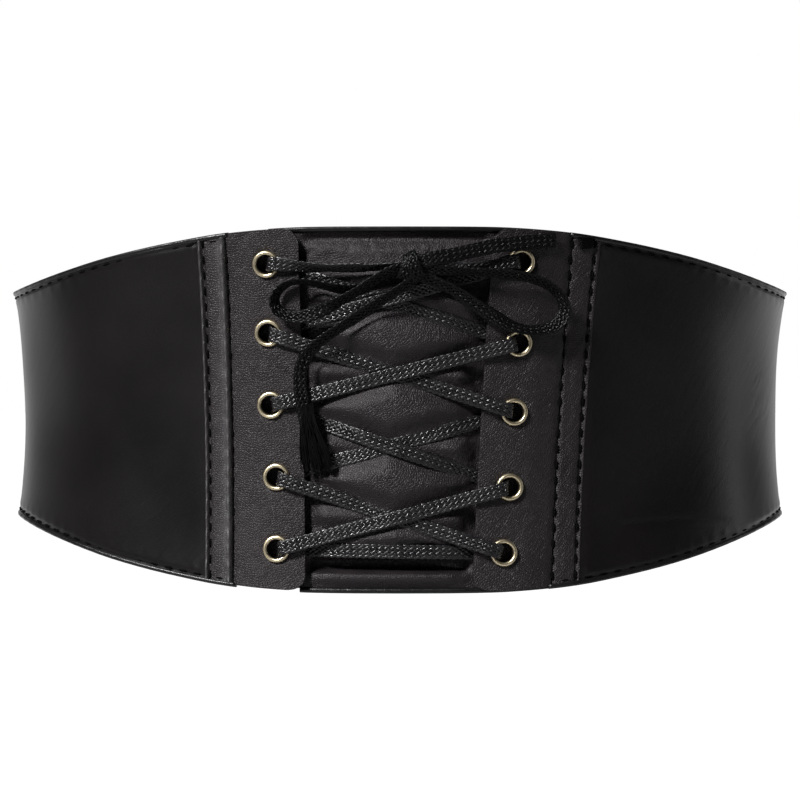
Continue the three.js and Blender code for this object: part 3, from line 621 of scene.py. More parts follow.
def cut_sheet(columns, rows, lay, holes=(), hole_radius=0):
    """A flat sheet on a grid. lay gives the place along and up for a share across and a share up
    from -1 to 1. The sheet's holes are cut out and their edges made round."""
    bm = bmesh.new()
    across, up = len(columns) - 1, len(rows) - 1
    bmesh.ops.create_grid(bm, x_segments=across, y_segments=up, size=0.5)
    spots = corners(bm)
    column = np.asarray(columns)[np.rint((spots[:, 0] + 0.5) * across).astype(int)]
    row = np.asarray(rows)[np.rint((spots[:, 1] + 0.5) * up).astype(int)]
    along, height = lay(column, 2 * row - 1)
    set_corners(bm, np.stack([along, height, np.zeros(len(spots))], axis=-1))
    for along, height in holes:
        centre = Vector((along, height, 0))
        inside = [f for f in bm.faces if (f.calc_center_median() - centre).length < hole_radius]
        bmesh.ops.delete(bm, geom=inside, context="FACES")
        for corner in bm.verts:
            off = corner.co - centre
            if corner.is_boundary and off.length < 1.6 * hole_radius:
                corner.co = centre + off.normalized() * hole_radius
    return bm


def thicken(bm, back, front, rubbed=None):
    """Gives a flat sheet its two faces: back and front give how far out each lies at a place
    along and up, and rubbed how bright the leather is rubbed there."""
    bmesh.ops.recalc_face_normals(bm, faces=bm.faces[:])
    if sum(f.normal.z for f in bm.faces) < 0:
        bmesh.ops.reverse_faces(bm, faces=bm.faces[:])
    bmesh.ops.solidify(bm, geom=bm.faces[:], thickness=1)
    spots = corners(bm)
    is_back = spots[:, 2] < spots[:, 2].mean()
    out = np.where(is_back, back(spots[:, 0], spots[:, 1]), front(spots[:, 0], spots[:, 1]))
    set_corners(bm, np.stack([spots[:, 0], spots[:, 1], out], axis=-1))
    if rubbed:
        gloss = bm.verts.layers.float.new("rubbed")
        for corner, share in zip(bm.verts, rubbed(spots[:, 0], spots[:, 1])):
            corner[gloss] = share
    layer = bm.loops.layers.uv.new("flat")
    for face in bm.faces:
        for loop in face.loops:
            loop[layer].uv = loop.vert.co.xy


def round_rim(bm, radius, segments):
    """Rounds the sharp edges of a sheet."""
    bm.normal_update()
    sharp = [e for e in bm.edges if e.is_manifold and e.calc_face_angle() > 1]
    bmesh.ops.bevel(bm, geom=sharp, offset=radius, offset_type="OFFSET", segments=segments,
                    profile=0.5, affect="EDGES", material=-1, clamp_overlap=True)


def bend_round(bm):
    """Bends what was cut flat round the waist."""
    spots = corners(bm)
    set_corners(bm, on_belt(spots[:, 0], spots[:, 1], spots[:, 2]))
    if sum(f.calc_area() * f.normal.dot(f.calc_center_median()) for f in bm.faces) < 0:
        bmesh.ops.reverse_faces(bm, faces=bm.faces[:])
    bm.normal_update()


def finish_sheet(node, bm, material, back, front, rim=(0, 0), rubbed=None, kind="leather"):
    """Gives a cut sheet its faces, rounds its rim by this radius in so many steps, and bends it
    round the waist in place of its node."""
    thicken(bm, back, front, rubbed)
    if rim[0]:
        round_rim(bm, *rim)
    bend_round(bm)
    return finish_piece(f"{node}_{kind}", bm, material, [node])


def tubes(name, rows, radius, sides):
    """A mesh of thin tubes, one along each of these rows of points."""
    data = bpy.data.curves.new(name, "CURVE")
    data.dimensions = "3D"
    data.bevel_depth, data.bevel_resolution, data.use_fill_caps = radius, sides, True
    for row in rows:
        spline = data.splines.new("POLY")
        spline.points.add(len(row) - 1)
        spline.points.foreach_set("co", np.insert(row, 3, 1, axis=1).ravel())
    holder = bpy.data.objects.new(name, data)
    mesh = bpy.data.meshes.new_from_object(holder)
    bpy.data.objects.remove(holder)
    bpy.data.curves.remove(data)
    return mesh


# Eyelets
Seat = namedtuple("Seat", "name side along height point along_it out_of_it")


def eyelet_seats():
    seats = {}
    for side in SIDES:
        for row, (inset, up) in enumerate(EYELETS[side.name], start=1):
            height = up * FRONT_HEIGHT / 2
            along = side.sign * (placket_edge(side, height) + inset * EYELET_INSET)
            out_at = lambda a, h: placket_back(side, a, h) + PLACKET_WALL / 2
            along_it, _, out_of_it = directions(along, height, out_at)
            point = on_belt(along, height, out_at(along, height))
            name = f"{side.name}_{row}"
            seats[name] = Seat(name, side, along, height, point, along_it, out_of_it)
    return seats


SEATS = eyelet_seats()


def make_eyelet(seat, material):
    """An eyelet turned from its profile: radius, distance out from the leather's middle, and how
    deep in the recess the place is."""
    top = PLACKET_WALL / 2
    middle = (EYELET_HOLE_RADIUS + EYELET_RADIUS) / 2
    half = (EYELET_RADIUS - EYELET_HOLE_RADIUS) / 2
    back = -top - GAP - EYELET_LIP
    lip = EYELET_HOLE_RADIUS + EYELET_LIP_WIDTH
    barrel = EYELET_HOLE_RADIUS + EYELET_BARREL_WALL
    profile = [(EYELET_HOLE_RADIUS, back, 1), (lip, back, 1), (lip, back + EYELET_LIP, 1),
               (barrel, back + EYELET_LIP, 1), (barrel, top, 1)]
    for share in even(8):
        angle = math.pi * share
        reach = middle + half * math.copysign(abs(math.cos(angle)) ** 0.7, math.cos(angle))
        rise = top + (EYELET_RIM + GAP) * math.sin(angle)
        profile.append((reach, rise, 0 if share < 0.8 else 0.6))
    bm = bmesh.new()
    recess = bm.verts.layers.float.new("recess")
    points = []
    for radius, out, depth in profile:
        point = bm.verts.new((radius, 0, out))
        point[recess] = depth
        points.append(point)
    edges = [bm.edges.new(pair) for pair in zip(points, points[1:] + points[:1])]
    bmesh.ops.spin(bm, geom=points + edges, cent=(0, 0, 0), axis=(0, 0, 1), angle=math.tau,
                   steps=40, use_merge=True)
    bmesh.ops.remove_doubles(bm, verts=bm.verts[:], dist=0.01 * MM)
    bmesh.ops.recalc_face_normals(bm, faces=bm.faces[:])
    across = np.cross(seat.out_of_it, seat.along_it)
    turned = Matrix(np.stack([seat.along_it, across, seat.out_of_it], axis=-1).tolist())
    bmesh.ops.transform(bm, verts=bm.verts[:],
                        matrix=Matrix.Translation(seat.point.tolist()) @ turned.to_4x4())
    name = f"eyelet_{seat.name}"
    made = finish_piece(f"{name}_brass", bm, material, [name])
    made.data.set_sharp_from_angle(angle=math.radians(50))
    return made


# The lace
class Route:
    """A smooth way through chosen stops, each with a point and the direction of the width."""

    def __init__(self, stops, step=0.3 * MM):
        points = np.array([stop[0] for stop in stops])
        across = unit(np.array([stop[1] for stop in stops]))
        gaps = np.linalg.norm(np.diff(points, axis=0), axis=1)
        knots = np.concatenate([[0], np.cumsum(gaps)])
        count = max(8, round(knots[-1] / step))
        at = np.linspace(0, knots[-1], count + 1)
        self.points = self.through(knots, points, at)
        across = np.stack([np.interp(at, knots, across[:, k]) for k in range(3)], axis=-1)
        tangent = unit(np.gradient(self.points, axis=0))
        across -= tangent * np.sum(across * tangent, axis=1, keepdims=True)
        across = unit(across)
        out = np.cross(tangent, across)
        steps = np.linalg.norm(np.diff(self.points, axis=0), axis=1)
        self.run = np.concatenate([[0], np.cumsum(steps)])
        sway = LACE_SWAY * swell(self.run, 0 * self.run, 22 * MM, 5)[:, None]
        self.across = np.cos(sway) * across + np.sin(sway) * out
        self.out = np.cos(sway) * out - np.sin(sway) * across
        self.length = self.run[-1]

    @staticmethod
    def through(knots, points, at):
        """A cubic through the points that doesn't swing past them."""
        slopes = np.gradient(points, knots, axis=0)
        i = np.clip(np.searchsorted(knots, at, side="right") - 1, 0, len(knots) - 2)
        step = (knots[i + 1] - knots[i])[:, None]
        t = (at - knots[i])[:, None] / step
        bend = slopes[i] * (1 - t) - slopes[i + 1] * t
        rise = points[i + 1] - points[i]
        return points[i] + rise * t * t * (3 - 2 * t) + t * (1 - t) * step * bend

    def read(self, values, distance):
        return np.stack([np.interp(distance, self.run, values[:, k]) for k in range(3)], axis=-1)

    def lay(self, spots):
        """Carries spots beside a straight line onto the route: x is the distance along it."""
        across = self.read(self.across, spots[:, 0])
        out = self.read(self.out, spots[:, 0])
        point = self.read(self.points, spots[:, 0])
        return point + across * spots[:, 1:2] + out * spots[:, 2:3]


def braid(length, samples, sides):
    """A straight flat braid, drawn with round yarns: each runs slantwise from edge to edge, over
    and under the others in turn. Also how much it is to be pressed flat."""
    radius = LACE_WIDTH / YARNS * 0.72
    flat = 0.5
    half = LACE_WIDTH / 2 - radius
    lift = LACE_THICKNESS / 2 - radius * flat
    step = YARN_CROSSING / YARNS / samples
    x = np.linspace(0, length, max(2, round(length / step)) + 1)
    rows = []
    for yarn in range(YARNS):
        share = x / (2 * YARN_CROSSING) + yarn / YARNS
        place = np.mod(share, 1)
        saw = 1 - np.abs(2 * place - 1)
        across = half * np.sin((2 * saw - 1) * math.pi / 2 * 0.9) / math.sin(math.pi / 2 * 0.9)
        to_turn = np.mod(place + 0.25, 0.5) - 0.25
        way = np.where(np.abs(np.mod(place + 0.25, 1) - 0.25) < 0.25, 1, -1)
        slant = np.clip(to_turn * 2 * YARNS, -1, 1) * way
        over = lift / flat * np.cos(2 * math.pi * YARNS * (x / (2 * YARN_CROSSING))) * slant
        rows.append(np.stack([x, across, over], axis=-1))
    return tubes("braid", rows, radius, sides), flat


def lace_mesh(route, samples=3, sides=1):
    """The braid laid along a route, with its flat place kept for the material."""
    mesh, flat = braid(route.length, samples, sides)
    spots = np.empty(len(mesh.vertices) * 3)
    mesh.vertices.foreach_get("co", spots)
    spots = spots.reshape(-1, 3)
    spots[:, 2] *= flat
    corner_of = np.empty(len(mesh.loops), int)
    mesh.loops.foreach_get("vertex_index", corner_of)
    layer = mesh.uv_layers.get("flat") or mesh.uv_layers.new(name="flat")
    layer.uv.foreach_set("vector", spots[corner_of, :2].ravel().astype(np.float32))
    mesh.vertices.foreach_set("co", route.lay(spots).ravel())
    mesh.update()
    return mesh


def lace_stop(along, height, out, angle, roll=0):
    along_it, up_it, out_of_it = directions(along, height, lambda a, h: out)
    across = -math.sin(angle) * along_it + math.cos(angle) * up_it
    return on_belt(along, height, out), math.cos(roll) * across + math.sin(roll) * out_of_it


def lace_stretch(points):
    stops = []
    for i, (along, height, out, roll) in enumerate(points):
        before, after = points[max(i - 1, 0)], points[min(i + 1, len(points) - 1)]
        angle = math.atan2(after[1] - before[1], after[0] - before[0])
        stops.append(lace_stop(along, height, out, angle, math.radians(roll)))
    return stops


LACE_SEAT = LACE_GAP + LACE_THICKNESS / 2
LACE_CROSSING = LACE_THICKNESS + LACE_GAP


def rim_out(seat):
    back = float(placket_back(seat.side, seat.along, seat.height))
    return back + PLACKET_WALL + GAP + EYELET_RIM + LACE_SEAT


def leg_stops(start, end, face, over):
    """One leg of the lacing between two eyelets, without its turns through them."""
    begin, finish = SEATS[start], SEATS[end]
    run = (finish.along - begin.along, finish.height - begin.height)
    length = math.hypot(*run)
    angle = math.atan2(run[1], run[0]) + (0 if face == "front" else math.pi)
    lift = LACE_CROSSING if over else 0

    def place(distance):
        share = distance / length
        return begin.along + run[0] * share, begin.height + run[1] * share

    def stop(distance, out):
        return lace_stop(*place(distance), out, angle)

    def on_padding(distance, extra):
        along, height = place(distance)
        rest = max(float(padding(along, height + e * LACE_WIDTH / 2)) for e in (-1, 0, 1))
        return stop(distance, PANEL_WALL + rest + LACE_SEAT + extra)

    def edge_distance(seat):
        inset = abs(seat.along) - placket_edge(seat.side, seat.height)
        return inset * length / abs(run[0])

    middle = length * (LACED_SHIFT - begin.along) / run[0]
    spread = LACE_WIDTH * 1.9
    crossing = [on_padding(middle + step, lift) for step in (-spread, 0, spread)]
    edge_begin, edge_end = edge_distance(begin), length - edge_distance(finish)
    if face == "front":
        first, last = rim_out(begin), rim_out(finish)
        return [
            stop(LACE_NEAR, first - LACE_SUNK), stop(LACE_PAST, first),
            stop(edge_begin, first - EYELET_RIM * 0.7), *crossing,
            stop(edge_end, last - EYELET_RIM * 0.7),
            stop(length - LACE_PAST, last), stop(length - LACE_NEAR, last - LACE_SUNK)]
    low = PANEL_WALL + LACE_SEAT
    dip = LACE_THICKNESS * 0.45
    return [
        stop(LACE_NEAR, low + dip), stop(LACE_PAST, low), stop(edge_begin, low),
        on_padding(mix(edge_begin, middle, 0.35), LACE_GAP), *crossing,
        on_padding(mix(edge_end, middle, 0.35), LACE_GAP), stop(edge_end, low),
        stop(length - LACE_PAST, low), stop(length - LACE_NEAR, low + dip)]


def lead_stops(name):
    """A lead between the bow and an upper eyelet: the left one ends there, the right one starts."""
    seat = SEATS[f"{name}_1"]
    rim = rim_out(seat)
    inward = -seat.side.sign
    past = (seat.along + inward * LACE_PAST, seat.height, rim, 0)
    near = (seat.along + inward * LACE_NEAR, seat.height, rim - LACE_SUNK, 0)
    return lace_stretch([*LEAD_LEFT, past, near] if name == "left" else [near, past, *LEAD_RIGHT])


def turn_stops(seat, before, after):
    """The turn through an eyelet between the last stop of one leg and the first of the next."""
    across = unit(before[1] + after[1])
    inward = seat.along_it * (-seat.side.sign * LACE_THICKNESS * 0.7)
    middle = seat.point + inward
    sense = np.sign(np.dot(seat.out_of_it, after[0] - before[0]))
    return [(middle + seat.out_of_it * end * sense * PLACKET_WALL * 0.5, across)
            for end in (-1, 1)]


def lacing_stops():
    stops = lead_stops("left")
    for start, end, face, over in LEGS:
        leg = leg_stops(start, end, face, over)
        stops += turn_stops(SEATS[start], stops[-1], leg[0]) + leg
    lead = lead_stops("right")
    return stops + turn_stops(SEATS["right_1"], stops[-1], lead[0]) + lead


def make_lacing(material):
    route = Route(lacing_stops())
    mesh = lace_mesh(route, samples=2, sides=2)
    return finish_mesh("lacing_braid", mesh, material, ["lacing"])


def make_knot(material):
    """The knot: three turns of the lace drawn tight over each other."""
    along, height, out = KNOT
    along_it, up_it, out_of_it = directions(along, height, lambda a, h: out)
    centre = on_belt(along, height, out)
    joined = bmesh.new()
    for tilt, reach, depth, aside, up in KNOT_TURNS:
        angle = math.radians(tilt)
        run = math.cos(angle) * along_it + math.sin(angle) * up_it
        width = -math.sin(angle) * along_it + math.cos(angle) * up_it
        heart = centre + aside * along_it + up * up_it
        stops = []
        for share in np.linspace(0.22, 1.28, 18):
            turn = math.tau * share
            point = heart + math.cos(turn) * reach * run + math.sin(turn) * depth * out_of_it
            stops.append((point, width))
        mesh = lace_mesh(Route(stops))
        joined.from_mesh(mesh)
        bpy.data.meshes.remove(mesh)
    return finish_piece("bow_knot_turns", joined, material, ["bow_knot"])


def make_fray():
    """The frayed end: the braid's yarns let go into filaments that spread and cling in locks."""
    dice = random.Random(11)
    along, height, out, _ = TAIL_HANGING[-1]
    drift = 3.4 * MM
    start = 7 * MM
    locks = [(dice.uniform(-1, 1), dice.uniform(-1, 1)) for _ in range(9)]
    share = np.linspace(0, 1, 12)
    rows = []
    for _ in range(260):
        lock = dice.choice(locks)
        end_side = max(-1, min(1, lock[0] + dice.gauss(0, 0.16)))
        end_deep = max(-1, min(1, lock[1] + dice.gauss(0, 0.3)))
        start_side = 0.8 * end_side + dice.gauss(0, 0.12)
        length = (FRAY_LENGTH + start) * dice.uniform(0.84, 1.0)
        wave, phase = dice.uniform(0, 0.35 * MM), dice.uniform(0, math.tau)
        spread = mix(LACE_WIDTH * 0.42 * start_side, FRAY_WIDTH / 2 * end_side, ease(0, 1, share))
        aside = drift * share ** 1.3 + spread + wave * np.sin(share * 9 + phase)
        deep = mix(0.7 * MM, 1.2 * MM, np.sin(share * 2.4)) * end_deep
        forward = 0.3 * MM - 0.8 * MM * share + deep + wave * np.cos(share * 8 + phase)
        rows.append(on_belt(along + aside, height + start - length * share, out + forward))
    mesh = tubes("fray", rows, 0.16 * MM, 0)
    return finish_mesh("tail_fray_yarns", mesh, loose_polyester(), ["tail_fray"])


def make_bow(material):
    """The bow: two loops, two tails and the knot between them, each at its real length."""
    free = []
    for node, points, far_end, lay in (
            ("bow_loop_right", LOOP_RIGHT, "object", "loose"),
            ("bow_loop_left", LOOP_LEFT, "object", "loose"),
            ("tail_side", TAIL_SIDE, "bare", "loose"),
            ("tail_hanging", TAIL_HANGING, "bare", "hanging")):
        route = Route(lace_stretch(points))
        made = finish_mesh(f"{node}_braid", lace_mesh(route), material, [node])
        free.append((made, route, far_end, lay))
    beside = [[make_knot(material)], [], [], [make_fray()]]
    for (made, route, far_end, lay), pieces in zip(free, beside):
        path = route.read(route.points, np.linspace(0, route.length, 61)).tolist()


# Leather
def edge_shares(length, step, fine, zone):
    """Shares up a sheet: fine steps within a zone at both ends, and the usual step between."""
    ends = np.arange(0, zone, fine) / length
    middle = np.linspace(zone / length, 1 - zone / length, round((length - 2 * zone) / step) + 1)
    return np.concatenate([ends, middle, 1 - ends[::-1]])


def beads(height, seed):
    """The puckers that the stitches of a seam draw into the leather beside them."""
    uneven = 0.15 * swell(height, 0 * height, 9 * MM, seed)
    return 0.85 + 0.13 * np.cos(math.tau * height / STITCH_PITCH) + uneven


def make_facing(side, material):
    """A facing: its free edge has round corners and it dips round each eyelet."""
    seats = [seat for seat in SEATS.values() if seat.side is side]

    def lay(column, share):
        height = share * FRONT_HEIGHT / 2
        to_end = np.minimum(1, (1 - np.abs(share)) * FRONT_HEIGHT / 2 / CORNER_RADIUS)
        rounded = CORNER_RADIUS * (1 - np.sqrt(1 - (1 - to_end) ** 2))
        seam = channel_seam(side, height) - GAP / 2
        along = side.sign * mix(seam, placket_edge(side, height) + rounded, column)
        return along, share * (half_height(along) - np.where(share < 0, PLACKET_DROP, GAP))

    def back(along, height):
        return placket_back(side, along, height)

    def front(along, height):
        out = back(along, height) + PLACKET_WALL
        out = out + 0.22 * MM * swell(along, height, 22 * MM, 3 + side.sign)
        out = out + 0.08 * MM * swell(along, height, 7 * MM, 13 + side.sign)
        for seat in seats:
            off = np.hypot(along - seat.along, height - seat.height)
            out = out - 0.45 * MM * bell(off - EYELET_RADIUS * 0.8, 1.3 * MM)
        return out - 0.75 * MM * bell(channel_seam(side, height) - np.abs(along), 1.4 * MM)

    radius = EYELET_HOLE_RADIUS + EYELET_BARREL_WALL + GAP
    rows = edge_shares(FRONT_HEIGHT, 0.8 * MM, 0.4 * MM, 7 * MM)
    bm = cut_sheet(even(32), rows, lay, [(seat.along, seat.height) for seat in seats], radius)
    return finish_sheet(f"placket_{side.name}", bm, material, back, front,
                        (0.5 * MM, 3))


def make_channel(side, material):
    """The narrow padded strip between its two rows of stitches. Its outer edge laps over the wing
    in a lip that the stitches pucker."""
    def lay(column, share):
        height = share * FRONT_HEIGHT / 2
        inner = channel_seam(side, height) + GAP / 2
        along = side.sign * mix(inner, wing_seam(side, height) + SEAM_LIP, column)
        return along, share * tucked_top(along)

    def back(along, height):
        return PANEL_WALL + GAP + 0 * along

    def front(along, height):
        from_inner = np.abs(along) - channel_seam(side, height)
        from_outer = from_inner - CHANNEL_WIDTH
        share = np.minimum(from_inner / CHANNEL_WIDTH, 1)
        ends = ease(0, 7 * MM, panel_top(along) - np.abs(height))
        crown = CHANNEL_CROWN * (1 - (2 * share - 1) ** 2) * mix(0.35, 1, ends * side.worn)
        ridge = 0.9 * MM * side.worn * bell(from_inner - 1.5 * MM, 0.9 * MM) * beads(
            height, 5 + side.sign)
        lip = (0.15 * MM + 1.1 * MM * side.worn * beads(height, 8)) * bell(
            from_outer - 1.1 * MM, 0.7 * MM)
        ditch = 0.5 * MM * (bell(from_outer, 0.5 * MM) + bell(from_inner, 0.5 * MM))
        wrinkle = 0.1 * MM * swell(along, height, 6 * MM, 21 + side.sign)
        return back(along, height) + CHANNEL_WALL * 0.85 + crown + ridge + lip - ditch + wrinkle

    def rubbed(along, height):
        from_inner = np.abs(along) - channel_seam(side, height)
        inner = 0.8 * bell(from_inner - 1.6 * MM, 1.6 * MM) + 0.4 * bell(from_inner, 5 * MM)
        outer = bell(from_inner - CHANNEL_WIDTH - 1.3 * MM, 0.9 * MM)
        return side.worn ** 2 * np.minimum(1, inner + outer)

    return finish_sheet(f"channel_{side.name}", cut_sheet(even(26), even(260), lay), material,
                        back, front, (0.35 * MM, 2), rubbed)


def wing_front(side, along, height):
    """How far out the wing's front face lies: soft swells, a seam drawn in by its stitches, and
    edges that dip towards their hems."""
    distance = np.abs(along)
    from_seam = distance - wing_seam(side, height)
    from_hem = panel_top(along) - np.abs(height)
    calm = ease(0, 20 * MM, from_seam) * ease(0, 12 * MM, WING_END - distance)
    soft = 0.4 * MM * swell(along, height, 52 * MM, 31 + side.sign) * calm
    dip = -0.5 * MM * bell(from_seam, 2.6 * MM)
    hem = -0.3 * MM * bell(from_hem, 1.1 * MM)
    hem_ripple = 0.16 * MM * bell(from_hem - 2.2 * MM, 1.8 * MM) * np.cos(
        math.tau * distance / STITCH_PITCH)
    rear = -0.35 * MM * bell(WING_END - distance - REAR_STITCH_INSET, 0.8 * MM)
    return wing_back(along) + WING_WALL + soft + dip + hem + hem_ripple + rear


def wing_columns(length):
    """Shares along a wing: close together at its seam and at its rear stitches."""
    seam = np.array([0, 0.35, 0.7, 1.05, 1.4, 1.8, 2.3, 2.9, 3.6, 4.5, 6]) * MM
    rear = length - np.array([8, 7, 6, 5.3, 4.7, 4.2, 3.8, 3.3, 2.6, 1.8, 0.9, 0]) * MM
    middle = np.linspace(8 * MM, length - 10 * MM, round((length - 18 * MM) / (2 * MM)) + 1)
    return np.concatenate([seam, middle, rear]) / length


def make_wing(side, material):
    """A wing, cut flat from its seam to its end over the elastic. The right one is creased low
    down."""
    length = WING_END - wing_seam(side, 0)

    def lay(column, share):
        start = wing_seam(side, share * FRONT_HEIGHT / 2) + SEAM_LIP - LIP_OVERLAP
        along = side.sign * mix(start, WING_END, column)
        return along, share * tucked_top(along)

    def back(along, height):
        return wing_back(along)

    def front(along, height):
        line = -42 * MM + 1.5 * MM * np.sin((along - 78 * MM) / (16 * MM))
        reach = ease(74 * MM, 84 * MM, along) * (1 - ease(118 * MM, 132 * MM, along))
        return wing_front(side, along, height) - 0.22 * MM * bell(height - line, 1.3 * MM) * reach

    rows = edge_shares(2 * panel_top(0), 1.0 * MM, 0.5 * MM, 4 * MM)
    made = finish_sheet(f"wing_{side.name}", cut_sheet(wing_columns(length), rows, lay), material,
                        back, front, (0.5 * MM, 2))


def make_edge(node, start, end, sign, out_at, wall_at, material):
    """A rolled leather edge: a tube of flattened section along the belt's top or bottom edge,
    drawn in a little at each stitch."""
    def rounded(wave):
        return np.sign(wave) * np.abs(wave) ** 0.75 / 2

    rings = round(abs(end - start) / (1.2 * MM))
    bm = bmesh.new()
    bmesh.ops.create_grid(bm, x_segments=rings, y_segments=12, size=0.5)
    spots = corners(bm)
    along = mix(start, end, spots[:, 0] + 0.5)
    turn = (spots[:, 1] + 0.5) * math.tau
    pucker = 1 + 0.05 * np.cos(math.tau * along / STITCH_PITCH) + 0.04 * swell(
        along, 0 * along, 9 * MM, len(node))
    out = out_at(along) + rounded(np.cos(turn)) * wall_at(along) * pucker
    height = sign * (half_height(along) - BINDING_HEIGHT / 2) + rounded(
        np.sin(turn)) * BINDING_HEIGHT
    layer = bm.loops.layers.uv.new("flat")
    flat = {v.index: (a, t * BINDING_HEIGHT) for v, a, t in zip(bm.verts, along, spots[:, 1])}
    for face in bm.faces:
        for loop in face.loops:
            loop[layer].uv = flat[loop.vert.index]
    set_corners(bm, on_belt(along, height, out))
    bmesh.ops.remove_doubles(bm, verts=bm.verts[:], dist=0.005 * MM)
    bmesh.ops.holes_fill(bm, edges=[e for e in bm.edges if e.is_boundary])
    bmesh.ops.recalc_face_normals(bm, faces=bm.faces[:])
    finish_piece(f"{node}_leather", bm, material, [node])


def make_wing_hem(side, sign, material):
    start = channel_seam(side, sign * FRONT_HEIGHT / 2) - 0.8 * MM
    make_edge(f"wing_{side.name}_{'top' if sign > 0 else 'bottom'}_binding",
              side.sign * start, side.sign * WING_END, sign,
              lambda along: wing_back(along) + WING_WALL / 2,
              lambda along: WING_WALL + BINDING_BULGE, material)


def make_centre_edge(sign, material):
    """The panel's rolled edge. It ends behind the left facing, at the bottom just behind it, and
    runs on thinner behind the right one to its seam."""
    end_height = sign * FRONT_HEIGHT / 2
    behind = PLACKET_WIDTH * PLACKET_RISE if sign > 0 else 2.5 * MM
    seam = channel_seam(SIDES[1], end_height)
    rise = seam - FACING_RIGHT * PLACKET_RISE
    wall_at = lambda along: mix(
        CENTRE_BINDING_WALL, PANEL_WALL, ease(rise - 4 * MM, rise, along))
    make_edge(f"centre_{'top' if sign > 0 else 'bottom'}_binding",
              -placket_edge(SIDES[0], end_height) - behind, seam - 0.5 * MM, sign,
              lambda along: wall_at(along) / 2, wall_at, material)


def lace_distance(along, height):
    """How far a place on the panel is from the nearest stretch of the lacing."""
    nearest = np.full(np.shape(along), 1.0)
    for start, end in [leg[:2] for leg in LEGS] + [("left_1", "right_1")]:
        a, b = SEATS[start], SEATS[end]
        run = np.array([b.along - a.along, b.height - a.height])
        share = ((along - a.along) * run[0] + (height - a.height) * run[1]) / run.dot(run)
        share = np.clip(share, 0, 1)
        off = np.hypot(along - a.along - run[0] * share, height - a.height - run[1] * share)
        nearest = np.minimum(nearest, off)
    return nearest


def panel_front(along, height):
    """The panel's front as it lies when worn: it swells between the legs of the lacing, and the
    sewn crease near its bottom is drawn in deep above a narrow roll."""
    share = height / panel_top(along)
    edges = np.minimum(along + placket_edge(SIDES[0], height),
                       placket_edge(SIDES[1], height) - along)
    free = ease(LACE_WIDTH * 0.3, LACE_WIDTH * 1.7, lace_distance(along, height))
    full = ease(0, 1, read_table(PADDING_ROWS, share)) * ease(2.5 * MM, 9 * MM, edges)
    valleys = 3.4 * MM * (1 - ease(0.032, 0.046, np.abs(share - CREASE)))
    valleys = valleys + 1.5 * MM * (1 - ease(0.006, 0.035, np.abs(share - 0.965)))
    roll = 0.9 * MM * bell(share + 0.95, 0.022)
    inside = ease(0, 3 * MM, edges)
    return PANEL_WALL + padding(along, height) + PUFF * free * full + (roll - valleys) * inside


def panel_back(along, height):
    return np.minimum(0, panel_front(along, height) - 0.7 * MM)


def panel_lay(column, share):
    """The panel runs on behind both facings: column is a whole number at each side's edge."""
    height = share * panel_top(0)
    stops = [GAP - wing_seam(SIDES[0], height), -placket_edge(SIDES[0], height),
             placket_edge(SIDES[1], height), wing_seam(SIDES[1], height) - GAP]
    zone = np.clip(column.astype(int), 0, 2)
    along = mix(np.choose(zone, stops[:3]), np.choose(zone, stops[1:]), column - zone)
    return along, share * tucked_top(along)


def inflate(bm, pinned, pressure, grow):
    """Lets the air into a sewn pad: a cloth run with its seams held. Returns where each corner
    went."""
    mesh = bpy.data.meshes.new("pad")
    bm.to_mesh(mesh)
    pad = new_object("pad", mesh)
    held = pad.vertex_groups.new(name="held")
    held.add([int(i) for i in np.nonzero(pinned)[0]], 1, "REPLACE")
    cloth = pad.modifiers.new("cloth", "CLOTH")
    settings = cloth.settings
    settings.vertex_group_mass = "held"
    settings.use_pressure = True
    settings.uniform_pressure_force = pressure
    settings.effector_weights.gravity = 0
    settings.shrink_min = -grow
    settings.quality = 6
    settings.bending_stiffness = 0.02
    cloth.collision_settings.use_collision = False
    cloth.point_cache.frame_start, cloth.point_cache.frame_end = 1, 20
    for count in range(1, 21):
        bpy.context.scene.frame_set(count)
    solved = pad.evaluated_get(bpy.context.evaluated_depsgraph_get()).to_mesh()
    spots = np.empty(len(solved.vertices) * 3)
    solved.vertices.foreach_get("co", spots)
    bpy.context.scene.frame_set(1)
    bpy.data.objects.remove(pad)
    bpy.data.meshes.remove(mesh)
    return spots.reshape(-1, 3)


def make_panel(material):
    """The padded panel behind the lacing, filled as a sewn pad."""
    columns = np.concatenate([even(10)[:-1], 1 + even(54)[:-1], 2 + even(10)])
    bm = cut_sheet(columns, even(110), panel_lay)
    thicken(bm, panel_back, panel_front)
    spots = corners(bm)
    along, height = spots[:, 0], spots[:, 1]
    share = height / panel_top(along)
    between = (along > 1.5 * MM - placket_edge(SIDES[0], height)) & (
        along < placket_edge(SIDES[1], height) - 1.5 * MM)
    sewn = (np.abs(share) > 0.93) | (np.abs(share - CREASE) < 0.045)
    pinned = (spots[:, 2] < 0.5 * MM) | ~between | sewn
    moved = inflate(bm, pinned, 5, 0.03)
    step = np.clip(moved - spots, -0.9 * MM, 0.9 * MM)
    spots = np.where(pinned[:, None], spots, spots + step)
    set_corners(bm, spots)
    bend_round(bm)
    made = finish_piece("centre_panel_leather", bm, material, ["centre_panel"])
    soften = made.modifiers.new("soften", "SUBSURF")
    soften.levels = soften.render_levels = 1


